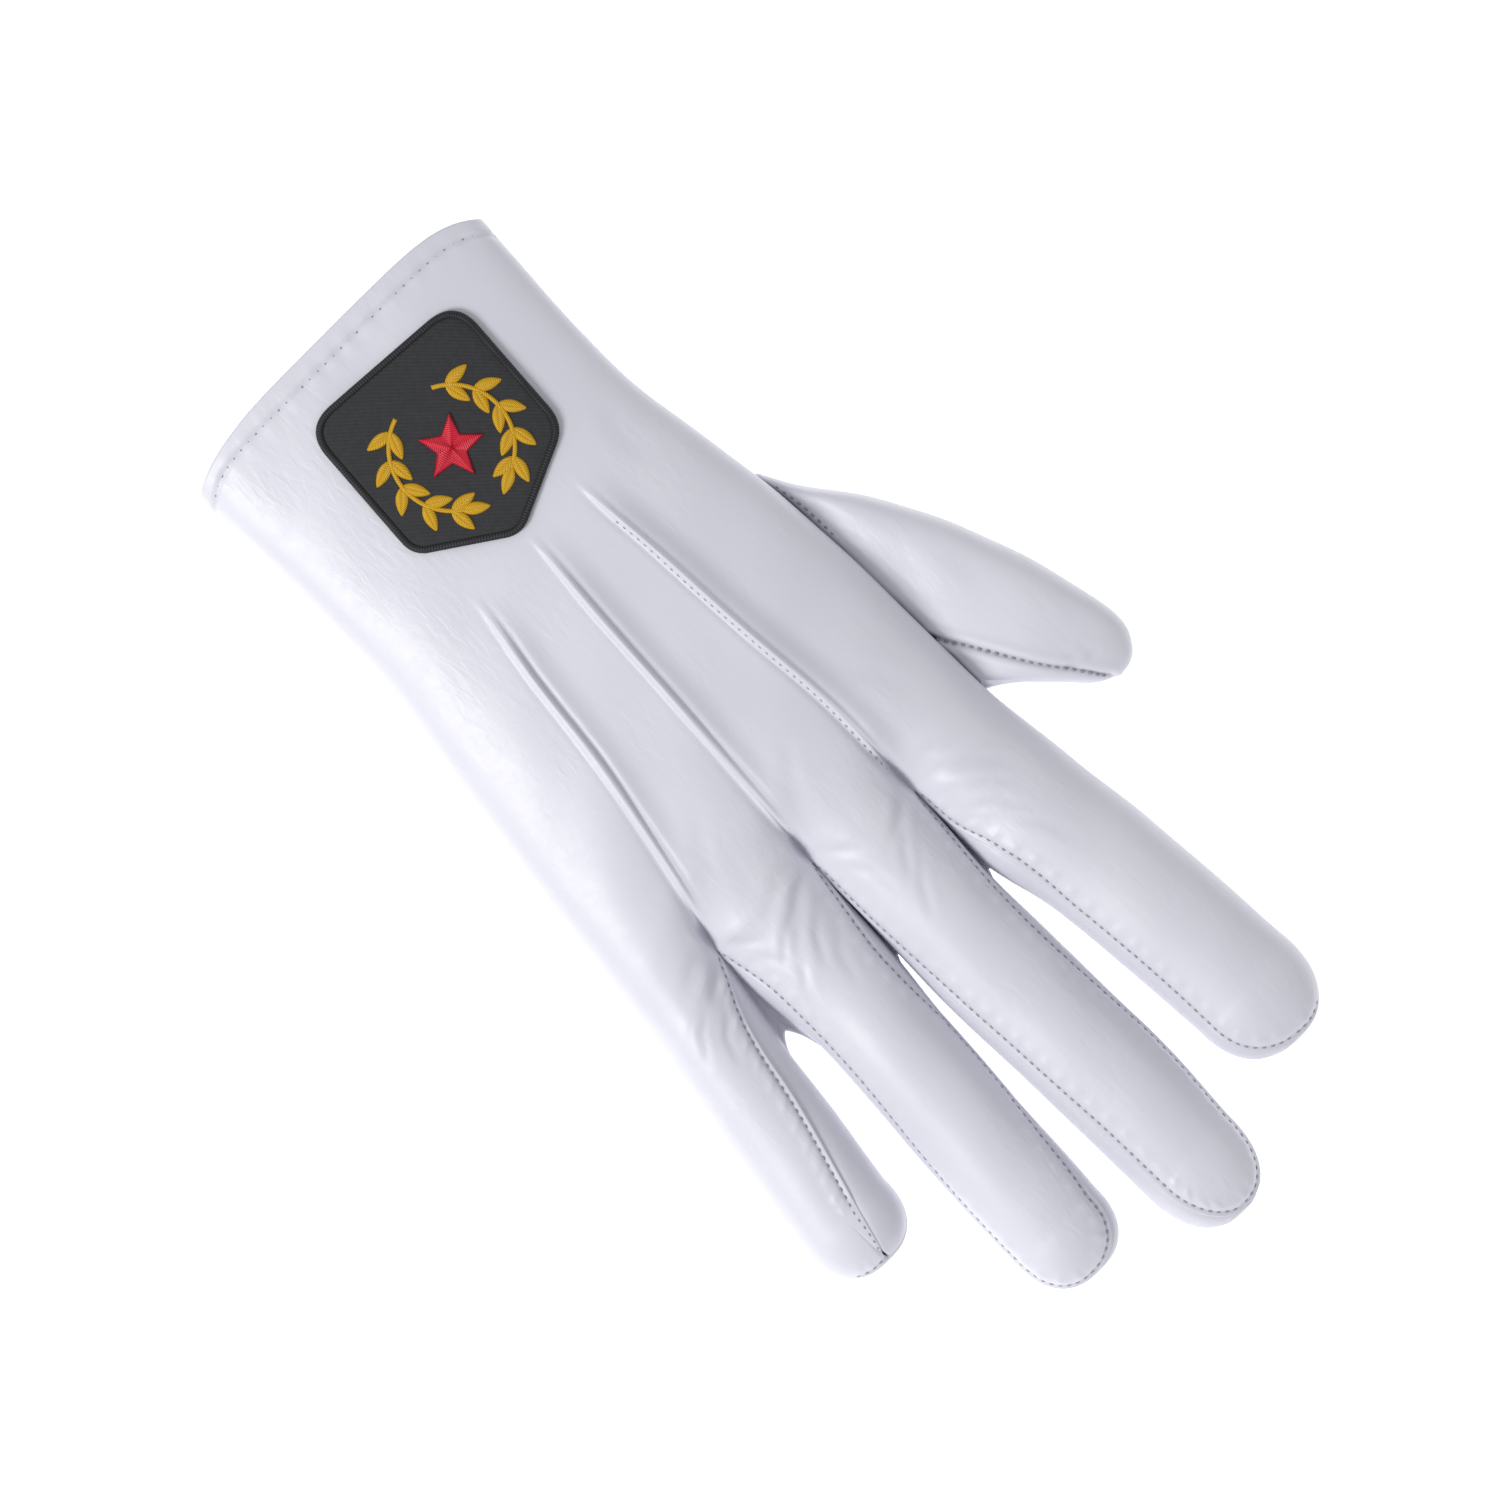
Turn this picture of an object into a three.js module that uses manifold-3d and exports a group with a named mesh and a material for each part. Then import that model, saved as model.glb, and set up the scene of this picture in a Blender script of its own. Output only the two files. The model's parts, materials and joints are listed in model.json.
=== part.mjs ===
// A white leather parade glove for the right hand, lying palm down with its thumb beside it.
// Millimetres. +Y runs to the fingertips, +X to the little finger, +Z up from the surface.
// The origin is in the middle of the palm's resting face.
import * as THREE from 'three';
import { mergeVertices } from 'three/addons/utils/BufferGeometryUtils.js';
import Module from 'manifold-3d';

const wasm = await Module();
wasm.setup();

// Driving sizes
const gloveWall = 1.3;              // leather
const seamGap = 0.3;                // between neighbouring pieces
const knuckleWidth = 96.7;
const wristWidth = 76.8;
const handLength = 143.2;           // cuff edge to the knuckle line
const cuffToRest = 100;             // cuff edge to the origin
const handHeight = 24;
const fingerHeight = 19;
const indexLength = 93.8;           // knuckle line to fingertip
const middleLength = 110.5;
const ringLength = 98.7;
const littleLength = 67.3;
const webReach = 21.5;              // how far the palm's crotches lie beyond the back's
const cuffCorner = 5.5;             // how far the cuff's corners are rounded away
const hemDepth = 4.6;
const ridgeHeight = 1.5;            // the three raised points
const ridgeHalfWidth = 1.4;
const ridgeRun = 0.05;              // of the hand's length, over which a point rises
const thumbLength = 80.5;
const thumbSpan = 29.5;
const thumbHeight = 14;
const badgeCentre = 34.1;           // from the cuff's edge
const badgeWidth = 40;
const badgeHeight = 44.6;
const badgeWall = 1.0;
const borderWidth = 2.2;
const borderRise = 0.5;
const badgeSeat = 0.3;              // between the badge and the leather
const motifWall = 0.7;
const wreathRadius = 12.6;
const leafLength = 5.8;
const leafWidth = 2.6;
const stemWidth = 0.9;
const starRadius = 7.2;

const knuckleY = handLength - cuffToRest;
const cuffY = -cuffToRest;

// Hand: share of the hand's length, how far each side has swelled from the wrist's width
// to the knuckles', and the height
const handRows = [
  { along: 0.00, thumbSwell: 0.30, littleSwell: 0.09, high: 0.70 },
  { along: 0.10, thumbSwell: 0.18, littleSwell: 0.03, high: 0.73 },
  { along: 0.24, thumbSwell: 0.00, littleSwell: 0.00, high: 0.78 },
  { along: 0.37, thumbSwell: 0.06, littleSwell: 0.04, high: 0.84 },
  { along: 0.50, thumbSwell: 0.45, littleSwell: 0.23, high: 0.92 },
  { along: 0.63, thumbSwell: 0.80, littleSwell: 0.45, high: 0.98 },
  { along: 0.80, thumbSwell: 0.93, littleSwell: 0.70, high: 1.00 },
];

// The raised points on the back: share of the hand's length, and x as shares of the knuckles' width
const pointRows = [
  { along: 0.00, first: -0.150, second: -0.030, third: 0.125 },
  { along: 0.41, first: -0.169, second: -0.018, third: 0.154 },
  { along: 0.55, first: -0.183, second: -0.002, third: 0.186 },
  { along: 0.70, first: -0.195, second: 0.011, third: 0.214 },
  { along: 0.86, first: -0.213, second: 0.028, third: 0.263 },
  { along: 1.00, first: -0.209, second: 0.044, third: 0.312 },
];
const pointStart = { first: 0.42, second: 0.45, third: 0.44 };

// Crotches between the fingers: x and how far past the knuckle line on the back, as shares of
// the knuckles' width, and x and y of the palm's crotch
const crotches = [
  { column: 'first', x: -0.209, past: 0.046, palmX: -0.206, reach: 1.00 },
  { column: 'second', x: 0.044, past: 0.000, palmX: 0.053, reach: 1.17 },
  { column: 'third', x: 0.312, past: -0.010, palmX: 0.331, reach: 0.98 },
];
const crotchHigh = 0.70;            // of the finger's height, on the back
const crotchLow = 0.10;             // and at the palm
const outerStart = 0.103;           // where the outer sides turn from hand to finger

// Fingers: share of the finger's length, x of both outlines and how far the back's seams lie
// inside them, as shares of the knuckles' width, and the height
const fingers = [
  { name: 'index', length: indexLength, cap: 0.84, rows: [
    { along: 0.00, left: -0.4650, right: -0.2070, inLeft: 0, inRight: 0.006, high: 1.10 },
    { along: 0.11, left: -0.4740, right: -0.2080, inLeft: 0, inRight: 0.010, high: 1.06 },
    { along: 0.21, left: -0.4860, right: -0.2080, inLeft: 0, inRight: 0.033, high: 1.03 },
    { along: 0.28, left: -0.4940, right: -0.2080, inLeft: 0, inRight: 0.040, high: 1.02 },
    { along: 0.43, left: -0.5120, right: -0.2410, inLeft: 0, inRight: 0.023, high: 1.00 },
    { along: 0.64, left: -0.5270, right: -0.2610, inLeft: 0, inRight: 0.021, high: 0.96 },
    { along: 0.84, left: -0.5420, right: -0.2750, inLeft: 0, inRight: 0.017, high: 0.88 }] },
  { name: 'middle', length: middleLength, cap: 0.855, rows: [
    { along: 0.00, left: -0.2090, right: 0.0450, inLeft: 0.002, inRight: 0.004, high: 1.14 },
    { along: 0.10, left: -0.2060, right: 0.0495, inLeft: 0.004, inRight: 0.007, high: 1.08 },
    { along: 0.25, left: -0.1975, right: 0.0530, inLeft: 0.007, inRight: 0.011, high: 1.04 },
    { along: 0.36, left: -0.2000, right: 0.0560, inLeft: 0.010, inRight: 0.019, high: 1.02 },
    { along: 0.54, left: -0.2030, right: 0.0500, inLeft: 0.004, inRight: 0.024, high: 1.00 },
    { along: 0.72, left: -0.2040, right: 0.0455, inLeft: 0.002, inRight: 0.029, high: 0.95 },
    { along: 0.855, left: -0.1945, right: 0.0435, inLeft: 0.002, inRight: 0.032, high: 0.88 }] },
  { name: 'ring', length: ringLength, cap: 0.875, rows: [
    { along: 0.00, left: 0.0455, right: 0.3120, inLeft: 0.003, inRight: 0.003, high: 1.10 },
    { along: 0.10, left: 0.0507, right: 0.3140, inLeft: 0.011, inRight: 0.022, high: 1.05 },
    { along: 0.20, left: 0.0550, right: 0.3060, inLeft: 0.018, inRight: 0.014, high: 1.02 },
    { along: 0.28, left: 0.0620, right: 0.3010, inLeft: 0.014, inRight: 0.008, high: 1.01 },
    { along: 0.41, left: 0.0765, right: 0.3080, inLeft: 0.002, inRight: 0.008, high: 1.00 },
    { along: 0.61, left: 0.0910, right: 0.3237, inLeft: 0.002, inRight: 0.003, high: 0.96 },
    { along: 0.80, left: 0.1000, right: 0.3310, inLeft: 0.012, inRight: 0.002, high: 0.91 },
    { along: 0.875, left: 0.1055, right: 0.3340, inLeft: 0.018, inRight: 0.002, high: 0.87 }] },
  { name: 'little', length: littleLength, cap: 0.82, rows: [
    { along: 0.00, left: 0.3200, right: 0.5346, inLeft: 0.006, inRight: 0, high: 1.02 },
    { along: 0.15, left: 0.3390, right: 0.5564, inLeft: 0.024, inRight: 0, high: 0.98 },
    { along: 0.30, left: 0.3537, right: 0.5720, inLeft: 0.039, inRight: 0, high: 0.95 },
    { along: 0.45, left: 0.3650, right: 0.5895, inLeft: 0.049, inRight: 0, high: 0.93 },
    { along: 0.60, left: 0.3785, right: 0.6070, inLeft: 0.061, inRight: 0, high: 0.90 },
    { along: 0.82, left: 0.4033, right: 0.6287, inLeft: 0.079, inRight: 0, high: 0.85 }] },
];

// The thumb's outline round its tip: shares of the thumb's length along, and of its span out
const thumbRows = [
  { along: 0.000, out: 0.00 },
  { along: 0.100, out: 0.14 },
  { along: 0.250, out: 0.42 },
  { along: 0.440, out: 0.67 },
  { along: 0.650, out: 0.87 },
  { along: 0.870, out: 1.00 },
  { along: 0.965, out: 0.93 },
  { along: 0.998, out: 0.76 },
  { along: 0.965, out: 0.56 },
  { along: 0.880, out: 0.34 },
  { along: 0.765, out: 0.02 },
];
const thumbStart = 0.560;           // of the hand's length, where the thumb leaves the hand
const thumbBase = 0.765;            // of the thumb's length, its seam along the hand
const thumbMiddle = 0.42;           // of the thumb's height, its outline
const thumbRound = 0.5;             // how fast the thumb rises behind both ends
const thumbFlat = 3;                // how soon its underside comes down to the surface

// Profile angles, in degrees from the crest of the back round to the middle of the palm
const sideSeam = 90;
const tipSeam = 72;
const fourchetteTurn = 62;
const palmSeamLeast = 96;
const palmSeamMost = 130;
const fingerSquare = 2.4;           // squareness of the fingertips
const sideShare = 0.46;             // where the hand's sides are widest, of its height
const fingerSideShare = 0.48;
const handCrown = 2.5;              // squareness of the hand's back
const palmFlat = 5;                 // squareness under the hand
const fingerFlat = 3;
const flatLift = 1.03;              // sinks the palm's profile so that its middle lies flat
const knuckleFade = 45;             // lengths over which the fingers' forms fade into the hand
const crotchFade = 16;
const webTop = 0.03;                // shares of the fold left free at both ends
const webBottom = 0.10;
const webFade = 0.3;                // share of a finger over which its web opens

// Mesh steps
const backSteps = [0, 0.3, 0.6, 0.84, 0.92, 1];
const sideSteps = [0, 0.25, 0.5, 0.7, 0.86, 1];
const palmSteps = [0, 0.5, 0.72, 0.87, 1];
const thumbColumn = 1;              // the palm's column at the lower edge of the thumb's hole
const handSteps = 12;
const palmRows = 9;
const fingerSteps = 7;
const rowCrowding = 1.35;           // draws the rows towards the crotches
const capSteps = 6;
const webEnd = 1.92;                // row where the fourchettes end, near the tip
const webSteps = 2;
const thumbSteps = 14;
const thumbTurns = 10;
const tightGap = 3;                 // wider seam gaps, where pieces meet at a slant

const radians = (degrees) => degrees * Math.PI / 180;
const mix = (a, b, t) => a + (b - a) * t;
const clamp = (t, low = 0, high = 1) => Math.min(high, Math.max(low, t));
const smooth = (t) => { const s = clamp(t); return s * s * (3 - 2 * s); };

// Cubic Hermite curve through the knots [[t, value], ...], straight on at the ends
function curve(knots, t) {
  const slope = (i) => {
    const a = knots[Math.max(0, i - 1)];
    const b = knots[Math.min(knots.length - 1, i + 1)];
    return (b[1] - a[1]) / (b[0] - a[0]);
  };
  const last = knots.length - 1;
  if (t <= knots[0][0]) return knots[0][1];
  if (t >= knots[last][0]) return knots[last][1] + slope(last) * (t - knots[last][0]);
  let i = 0;
  while (t > knots[i + 1][0]) i += 1;
  const step = knots[i + 1][0] - knots[i][0];
  const u = (t - knots[i][0]) / step;
  const u2 = u * u;
  const u3 = u2 * u;
  return (2 * u3 - 3 * u2 + 1) * knots[i][1] + (u3 - 2 * u2 + u) * step * slope(i)
    + (3 * u2 - 2 * u3) * knots[i + 1][1] + (u3 - u2) * step * slope(i + 1);
}

const handKnots = (value) => handRows.map((row) => [cuffY + row.along * handLength, value(row)]);
const fingerKnots = (finger, value) =>
  finger.rows.map((row) => [knuckleY + row.along * finger.length, value(row)]);

const thumbSide = wristWidth * 0.495;
const littleSide = wristWidth * 0.505;
const thumbKnuckle = -fingers[0].rows[0].left * knuckleWidth;
const littleKnuckle = fingers[3].rows[0].right * knuckleWidth;
const leftKnots = [
  ...handKnots((row) => -mix(thumbSide, thumbKnuckle, row.thumbSwell)),
  ...fingerKnots(fingers[0], (row) => row.left * knuckleWidth)];
const rightKnots = [
  ...handKnots((row) => mix(littleSide, littleKnuckle, row.littleSwell)),
  ...fingerKnots(fingers[3], (row) => row.right * knuckleWidth)];
const heightKnots = handKnots((row) => row.high * handHeight);

const handLeft = (y) => curve(leftKnots, y);
const handRight = (y) => curve(rightKnots, y);
const handTop = (y) => curve(heightKnots, Math.min(y, knuckleY));
const pointX = (name, y) =>
  curve(pointRows.map((row) => [cuffY + row.along * handLength, row[name] * knuckleWidth]), y);

const fold = crotches.map((row) => {
  const y = knuckleY + row.past * knuckleWidth;
  return {
    column: row.column,
    back: [row.x * knuckleWidth, y, crotchHigh * fingerHeight],
    palm: [row.palmX * knuckleWidth, y + row.reach * webReach, crotchLow * fingerHeight],
  };
});
const outerY = knuckleY + outerStart * knuckleWidth;

for (const [i, finger] of fingers.entries()) {
  finger.left = i === 0 ? leftKnots : fingerKnots(finger, (row) => row.left * knuckleWidth);
  finger.right = i === 3 ? rightKnots : fingerKnots(finger, (row) => row.right * knuckleWidth);
  finger.inLeft = fingerKnots(finger, (row) => row.inLeft * knuckleWidth);
  finger.inRight = fingerKnots(finger, (row) => row.inRight * knuckleWidth);
  finger.high = fingerKnots(finger, (row) => row.high * fingerHeight);
  finger.capY = knuckleY + finger.cap * finger.length;
  finger.tipY = knuckleY + finger.length;
  finger.folds = { [-1]: fold[i - 1], [1]: fold[i] };
}

const isOuter = (finger, side) => !finger.folds[side];

// Height of the back or the palm of the hand at a place
function handZ(x, y, upper) {
  const left = handLeft(y);
  const right = handRight(y);
  const across = clamp(Math.abs((2 * x - left - right) / (right - left)));
  const top = handTop(y);
  const side = sideShare * top;
  if (upper) return side + (top - side) * (1 - across ** handCrown) ** (1 / handCrown);
  return side * Math.max(0, 1 - flatLift * (1 - across ** palmFlat) ** (1 / palmFlat));
}

// Angles of the back's seam and the palm's seam on one side of a finger, at a height y
function seamAngles(finger, side, y, round) {
  if (isOuter(finger, side)) {
    const angle = mix(radians(sideSeam), radians(tipSeam), round ** 2);
    return { back: angle, palm: angle };
  }
  const half = (curve(finger.right, y) - curve(finger.left, y)) / 2;
  const inset = curve(side < 0 ? finger.inLeft : finger.inRight, y);
  const back = Math.asin(clamp(1 - inset / half, 0.2, 0.985));
  const palm = clamp(back + radians(fourchetteTurn), radians(palmSeamLeast), radians(palmSeamMost));
  return {
    back: mix(back, radians(tipSeam), round ** 3),
    palm: mix(palm, radians(tipSeam), round ** 2),
  };
}

// Where a finger's row begins, for one side and one share across
function startY(finger, side, kind, share) {
  const at = (s) => {
    const crotch = finger.folds[s];
    return crotch ? crotch[kind][1] : outerY;
  };
  return mix(at(-side), at(side), (1 + share) / 2);
}

// Crest of a finger: half way between its outlines, and at its root half way between its crotches
function crestX(finger, y) {
  const bound = (s) => {
    const crotch = finger.folds[s];
    if (!crotch) return s < 0 ? handLeft(outerY) : handRight(outerY);
    return crotch.back[0];
  };
  const root = (bound(-1) + bound(1)) / 2;
  const plain = (at) => (curve(finger.left, at) + curve(finger.right, at)) / 2;
  const fade = 1 - smooth((y - knuckleY) / (webFade * finger.length));
  return plain(y) + (root - plain(knuckleY)) * fade;
}

// A point of a finger's bare tube: row 0 to 1 up to the cap, then 1 to 2 round it
function tube(finger, side, y, round, angle) {
  const share = Math.sin(angle);
  const high = curve(finger.high, y);
  const middle = fingerSideShare * high;
  const crest = crestX(finger, y);
  const edge = curve(side < 0 ? finger.left : finger.right, y);
  const turn = round * Math.PI / 2;
  const power = 2 / fingerSquare;
  const wide = Math.cos(turn) ** power;
  const long = Math.sin(turn) ** power;
  const z = angle <= Math.PI / 2
    ? middle + (high - middle) * Math.cos(angle)
    : middle * Math.max(0, 1 - flatLift * (1 - share ** fingerFlat) ** (1 / fingerFlat));
  return [crest + share * (edge - crest) * (round > 0 ? wide : 1),
    y + (round > 0 ? share * long * (finger.tipY - finger.capY) : 0), z];
}

// A point of the finished finger and the way into its hollow. seam is the profile angle of the
// piece's edge on this side, which takes the crotch's place at the root, or for a fourchette the
// share down its fold there.
function fingerPoint(finger, side, row, angle, seam, kind) {
  const crotch = finger.folds[side];
  const round = clamp(row - 1);
  const along = clamp(row);
  let start;
  let target = null;
  let weight = 0;
  if (kind === 'web') {
    target = crotch.back.map((value, i) => mix(value, crotch.palm[i], seam));
    start = target[1];
    weight = 1;
  } else {
    const share = Math.sin(angle) / Math.sin(seam);
    start = startY(finger, side, kind, crotch ? share : Math.sin(angle));
    if (crotch) {
      target = crotch[kind];
      weight = share;
    }
  }
  const y = mix(start, finger.capY, along);
  const point = tube(finger, side, y, round, angle);
  const fade = (1 - clamp(along / webFade)) ** 2;
  if (target) {
    const edgeY = kind === 'web' ? start : target[1];
    const edge = tube(finger, side, edgeY, 0, kind === 'web' ? angle : seam);
    point[0] += (target[0] - edge[0]) * weight * fade;
    point[2] += (target[2] - edge[2]) * weight * fade;
  }
  const turn = round * Math.PI / 2;
  const out = [side * Math.cos(turn), Math.sin(turn)];
  if (crotch) {
    out[0] = mix(out[0], 0, fade);
    out[1] = mix(out[1], 1, fade);
  }
  const size = Math.hypot(...out);
  const inward = [-out[0] / size * Math.sin(angle), -out[1] / size * Math.sin(angle), -Math.cos(angle)];
  return { point, inward };
}

// A point of the hand before the fingers part. It meets the fingers' first row at share 1.
function handPoint(finger, side, share, angle, seam, kind) {
  const root = fingerPoint(finger, side, 0, angle, seam, kind);
  const crotch = finger.folds[side];
  const rootX = root.point[0];
  const rootLeft = handLeft(root.point[1]);
  const rootRight = handRight(root.point[1]);
  const across = (2 * rootX - rootLeft - rootRight) / (rootRight - rootLeft);
  const startCuff = cuffY + cuffCorner * Math.abs(across) ** 8;
  const y = mix(startCuff, root.point[1], share);
  const bound = (s, at, part) => {
    const other = finger.folds[s];
    if (!other) return s < 0 ? handLeft(at) : handRight(at);
    const drift = other[kind][0] - pointX(other.column, other[kind][1]);
    return pointX(other.column, at) + drift * part ** 2;
  };
  const ratio = crotch ? Math.sin(angle) / Math.sin(seam) : Math.sin(angle);
  const plainX = (at, part) =>
    mix((bound(-1, at, part) + bound(1, at, part)) / 2, bound(side, at, part), ratio);
  const x = plainX(y, share) + (rootX - plainX(root.point[1], 1)) * share ** 4;
  const left = root.point[1] - y;
  const blend = 0.5 * smooth(1 - left / knuckleFade) + 0.5 * smooth(1 - left / crotchFade);
  const z = mix(handZ(x, y, angle <= Math.PI / 2), root.point[2], blend);
  const tilt = crotch ? smooth(1 - left / crotchFade) : 1;
  const flat = kind === 'back' ? 0 : Math.PI;
  const leaning = mix(flat, angle, tilt);
  const out = crotch ? [0, 1] : [side, 0];
  const inward = [-out[0] * Math.sin(leaning), -out[1] * Math.sin(leaning), -Math.cos(leaning)];
  return { point: [x, y, z], inward };
}

// A closed leather piece from grids of outer points, each with its way inwards. Points that
// coincide are one, open edges get a rim, and the inner face is the outer one moved inwards.
class Leather {
  constructor() {
    this.found = new Map();
    this.outer = [];
    this.inner = [];
    this.faces = [];
  }

  vertex({ point, inward, thick = gloveWall }) {
    const key = point.map((value) => Math.round(value * 200)).join();
    if (!this.found.has(key)) {
      const length = Math.hypot(...inward);
      this.found.set(key, this.outer.length);
      this.outer.push(point);
      this.inner.push(point.map((value, i) => value + inward[i] / length * thick));
    }
    return this.found.get(key);
  }

  patch(rows, columns, sample, skip = () => false) {
    const grid = [];
    for (let r = 0; r <= rows; r += 1) {
      const line = [];
      for (let c = 0; c <= columns; c += 1) line.push(this.vertex(sample(r, c)));
      grid.push(line);
    }
    const fresh = [];
    for (let r = 0; r < rows; r += 1) {
      for (let c = 0; c < columns; c += 1) {
        if (skip(r, c)) continue;
        fresh.push([grid[r][c], grid[r][c + 1], grid[r + 1][c + 1]]);
        fresh.push([grid[r][c], grid[r + 1][c + 1], grid[r + 1][c]]);
      }
    }
    const whole = fresh.filter(([a, b, c]) => a !== b && b !== c && a !== c);
    const facing = whole.reduce((sum, face) => sum + this.facing(face), 0);
    this.faces.push(...whole.map(([a, b, c]) => (facing < 0 ? [a, c, b] : [a, b, c])));
  }

  facing([a, b, c]) {
    const at = (i) => new THREE.Vector3(...this.outer[i]);
    const normal = at(b).sub(at(a)).cross(at(c).sub(at(a)));
    return normal.dot(at(a).sub(new THREE.Vector3(...this.inner[a])));
  }

  across(a, b) {
    return Math.hypot(...this.outer[a].map((value, i) => value - this.inner[b][i]));
  }

  geometry() {
    const count = this.outer.length;
    const edges = new Set(this.faces.flatMap(([a, b, c]) => [`${a},${b}`, `${b},${c}`, `${c},${a}`]));
    const faces = [];
    for (const [a, b, c] of this.faces) {
      faces.push([a, b, c], [c + count, b + count, a + count]);
      for (const [from, to] of [[a, b], [b, c], [c, a]]) {
        if (edges.has(`${to},${from}`)) continue;
        if (this.across(from, to) < this.across(to, from)) {
          faces.push([to, from, to + count], [from, from + count, to + count]);
        } else {
          faces.push([to, from, from + count], [to, from + count, to + count]);
        }
      }
    }
    return meshOf([...this.outer, ...this.inner], faces);
  }
}

function meshOf(points, faces) {
  const geometry = new THREE.BufferGeometry();
  geometry.setAttribute('position', new THREE.Float32BufferAttribute(points.flat(), 3));
  geometry.setIndex(faces.flat());
  geometry.computeVertexNormals();
  return geometry;
}

// Angle across one half of a finger's back or palm, so that both halves meet at the tip
function stepAngle(finger, side, y, round, step, steps, kind) {
  const seams = seamAngles(finger, side, y, round);
  const gap = seamGap / fingerHeight;
  const even = steps[step];
  if (kind === 'back') {
    const edge = seams.back - gap;
    const outer = sideSteps[step] * edge;
    const inner = Math.asin(clamp(even * Math.sin(Math.min(edge, Math.PI / 2))));
    const plain = isOuter(finger, side) ? outer : inner;
    return { angle: mix(plain, sideSteps[step] * edge, round ** 2), seam: edge };
  }
  const edge = seams.palm + gap;
  return { angle: mix(Math.PI, edge, steps[step]), seam: edge };
}

const rowOf = (step) => (step <= fingerSteps
  ? (step / fingerSteps) ** rowCrowding
  : 1 + (step - fingerSteps) / capSteps);
const levelOf = (finger, row) => mix(knuckleY, finger.capY, clamp(row));

// Raised points run along the columns that end in the crotches
function ridge(finger, side, y, x) {
  const crotch = finger.folds[side];
  if (!crotch) return 0;
  const along = (y - cuffY) / handLength;
  const rise = smooth((along - pointStart[crotch.column]) / ridgeRun);
  const fall = smooth((crotch.back[1] - y) / crotchFade * 2);
  const off = Math.abs(x - pointX(crotch.column, y)) / ridgeHalfWidth;
  return ridgeHeight * rise * fall * (1 - smooth(off));
}

function backPanel() {
  const leather = new Leather();
  const columns = backSteps.length - 1;
  for (const finger of fingers) {
    for (const side of [-1, 1]) {
      leather.patch(handSteps, columns, (r, c) => {
        const share = handShare(r, handSteps);
        const { angle, seam } = stepAngle(finger, side, knuckleY, 0, c, backSteps, 'back');
        const sample = handPoint(finger, side, share, angle, seam, 'back');
        const [x, y] = sample.point;
        sample.point[2] += ridge(finger, side, y, x);
        sample.thick = gloveWall * hem(share);
        return sample;
      });
      leather.patch(fingerSteps + capSteps, columns, (r, c) => {
        const row = rowOf(r);
        const { angle, seam } = stepAngle(
          finger, side, levelOf(finger, row), clamp(row - 1), c, backSteps, 'back');
        return fingerPoint(finger, side, row, angle, seam, 'back');
      });
    }
  }
  return leather.geometry();
}

// Rows of the hand: two for the hem, then evenly on
function handShare(step, steps) {
  const hemShare = hemDepth / handLength;
  if (step < 3) return [0, hemShare, hemShare * 1.25][step];
  return mix(hemShare * 1.25, 1, (step - 2) / (steps - 2));
}

// The hem is the leather turned in once
const hem = (share) => (share <= hemDepth / handLength + 1e-6 ? 2 : 1);

function palmPanel() {
  const leather = new Leather();
  const columns = palmSteps.length - 1;
  const [holeFrom, holeTo] = thumbHole();
  for (const finger of fingers) {
    for (const side of [-1, 1]) {
      const open = finger.name === 'index' && side < 0;
      leather.patch(palmRows, columns, (r, c) => {
        const { angle, seam } = stepAngle(finger, side, knuckleY, 0, c, palmSteps, 'palm');
        const sample = handPoint(finger, side, palmShare(r), angle, seam, 'palm');
        sample.thick = gloveWall * hem(palmShare(r));
        return sample;
      }, (r, c) => open && c >= thumbColumn && r >= holeFrom && r < holeTo);
      leather.patch(fingerSteps + capSteps, columns, (r, c) => {
        const row = rowOf(r);
        const { angle, seam } = stepAngle(
          finger, side, levelOf(finger, row), clamp(row - 1), c, palmSteps, 'palm');
        return fingerPoint(finger, side, row, angle, seam, 'palm');
      });
    }
  }
  return leather.geometry();
}

function palmShare(step) {
  const hemShare = hemDepth / handLength;
  const [holeFrom, holeTo] = thumbHole();
  const outer = handLength + outerStart * knuckleWidth;
  const begin = thumbStart * handLength / outer;
  const end = (thumbStart * handLength + thumbBase * thumbLength) / outer;
  if (step < 3) return [0, hemShare, hemShare * 1.25][step];
  if (step <= holeFrom) return mix(hemShare * 1.25, begin, (step - 2) / (holeFrom - 2));
  if (step <= holeTo) return mix(begin, end, (step - holeFrom) / (holeTo - holeFrom));
  return mix(end, 1, (step - holeTo) / (palmRows - holeTo));
}

// Rows of the palm between which the thumb's hole lies
function thumbHole() {
  return [4, palmRows - 1];
}

// A fourchette: the strip up one finger's side, down to the crotch and up the next finger's
function fourchette(k) {
  const leather = new Leather();
  for (const [finger, side] of [[fingers[k], 1], [fingers[k + 1], -1]]) {
    leather.patch(fingerSteps + capSteps, webSteps, (r, c) => {
      const row = Math.min(rowOf(r), webEnd);
      const y = levelOf(finger, row);
      const seams = seamAngles(finger, side, y, clamp(row - 1));
      const gap = seamGap / fingerHeight;
      const angle = mix(seams.back + gap, seams.palm - tightGap * gap, c / webSteps);
      return fingerPoint(finger, side, row, angle, mix(webTop, 1 - webBottom, c / webSteps), 'web');
    });
  }
  return leather.geometry();
}

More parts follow.
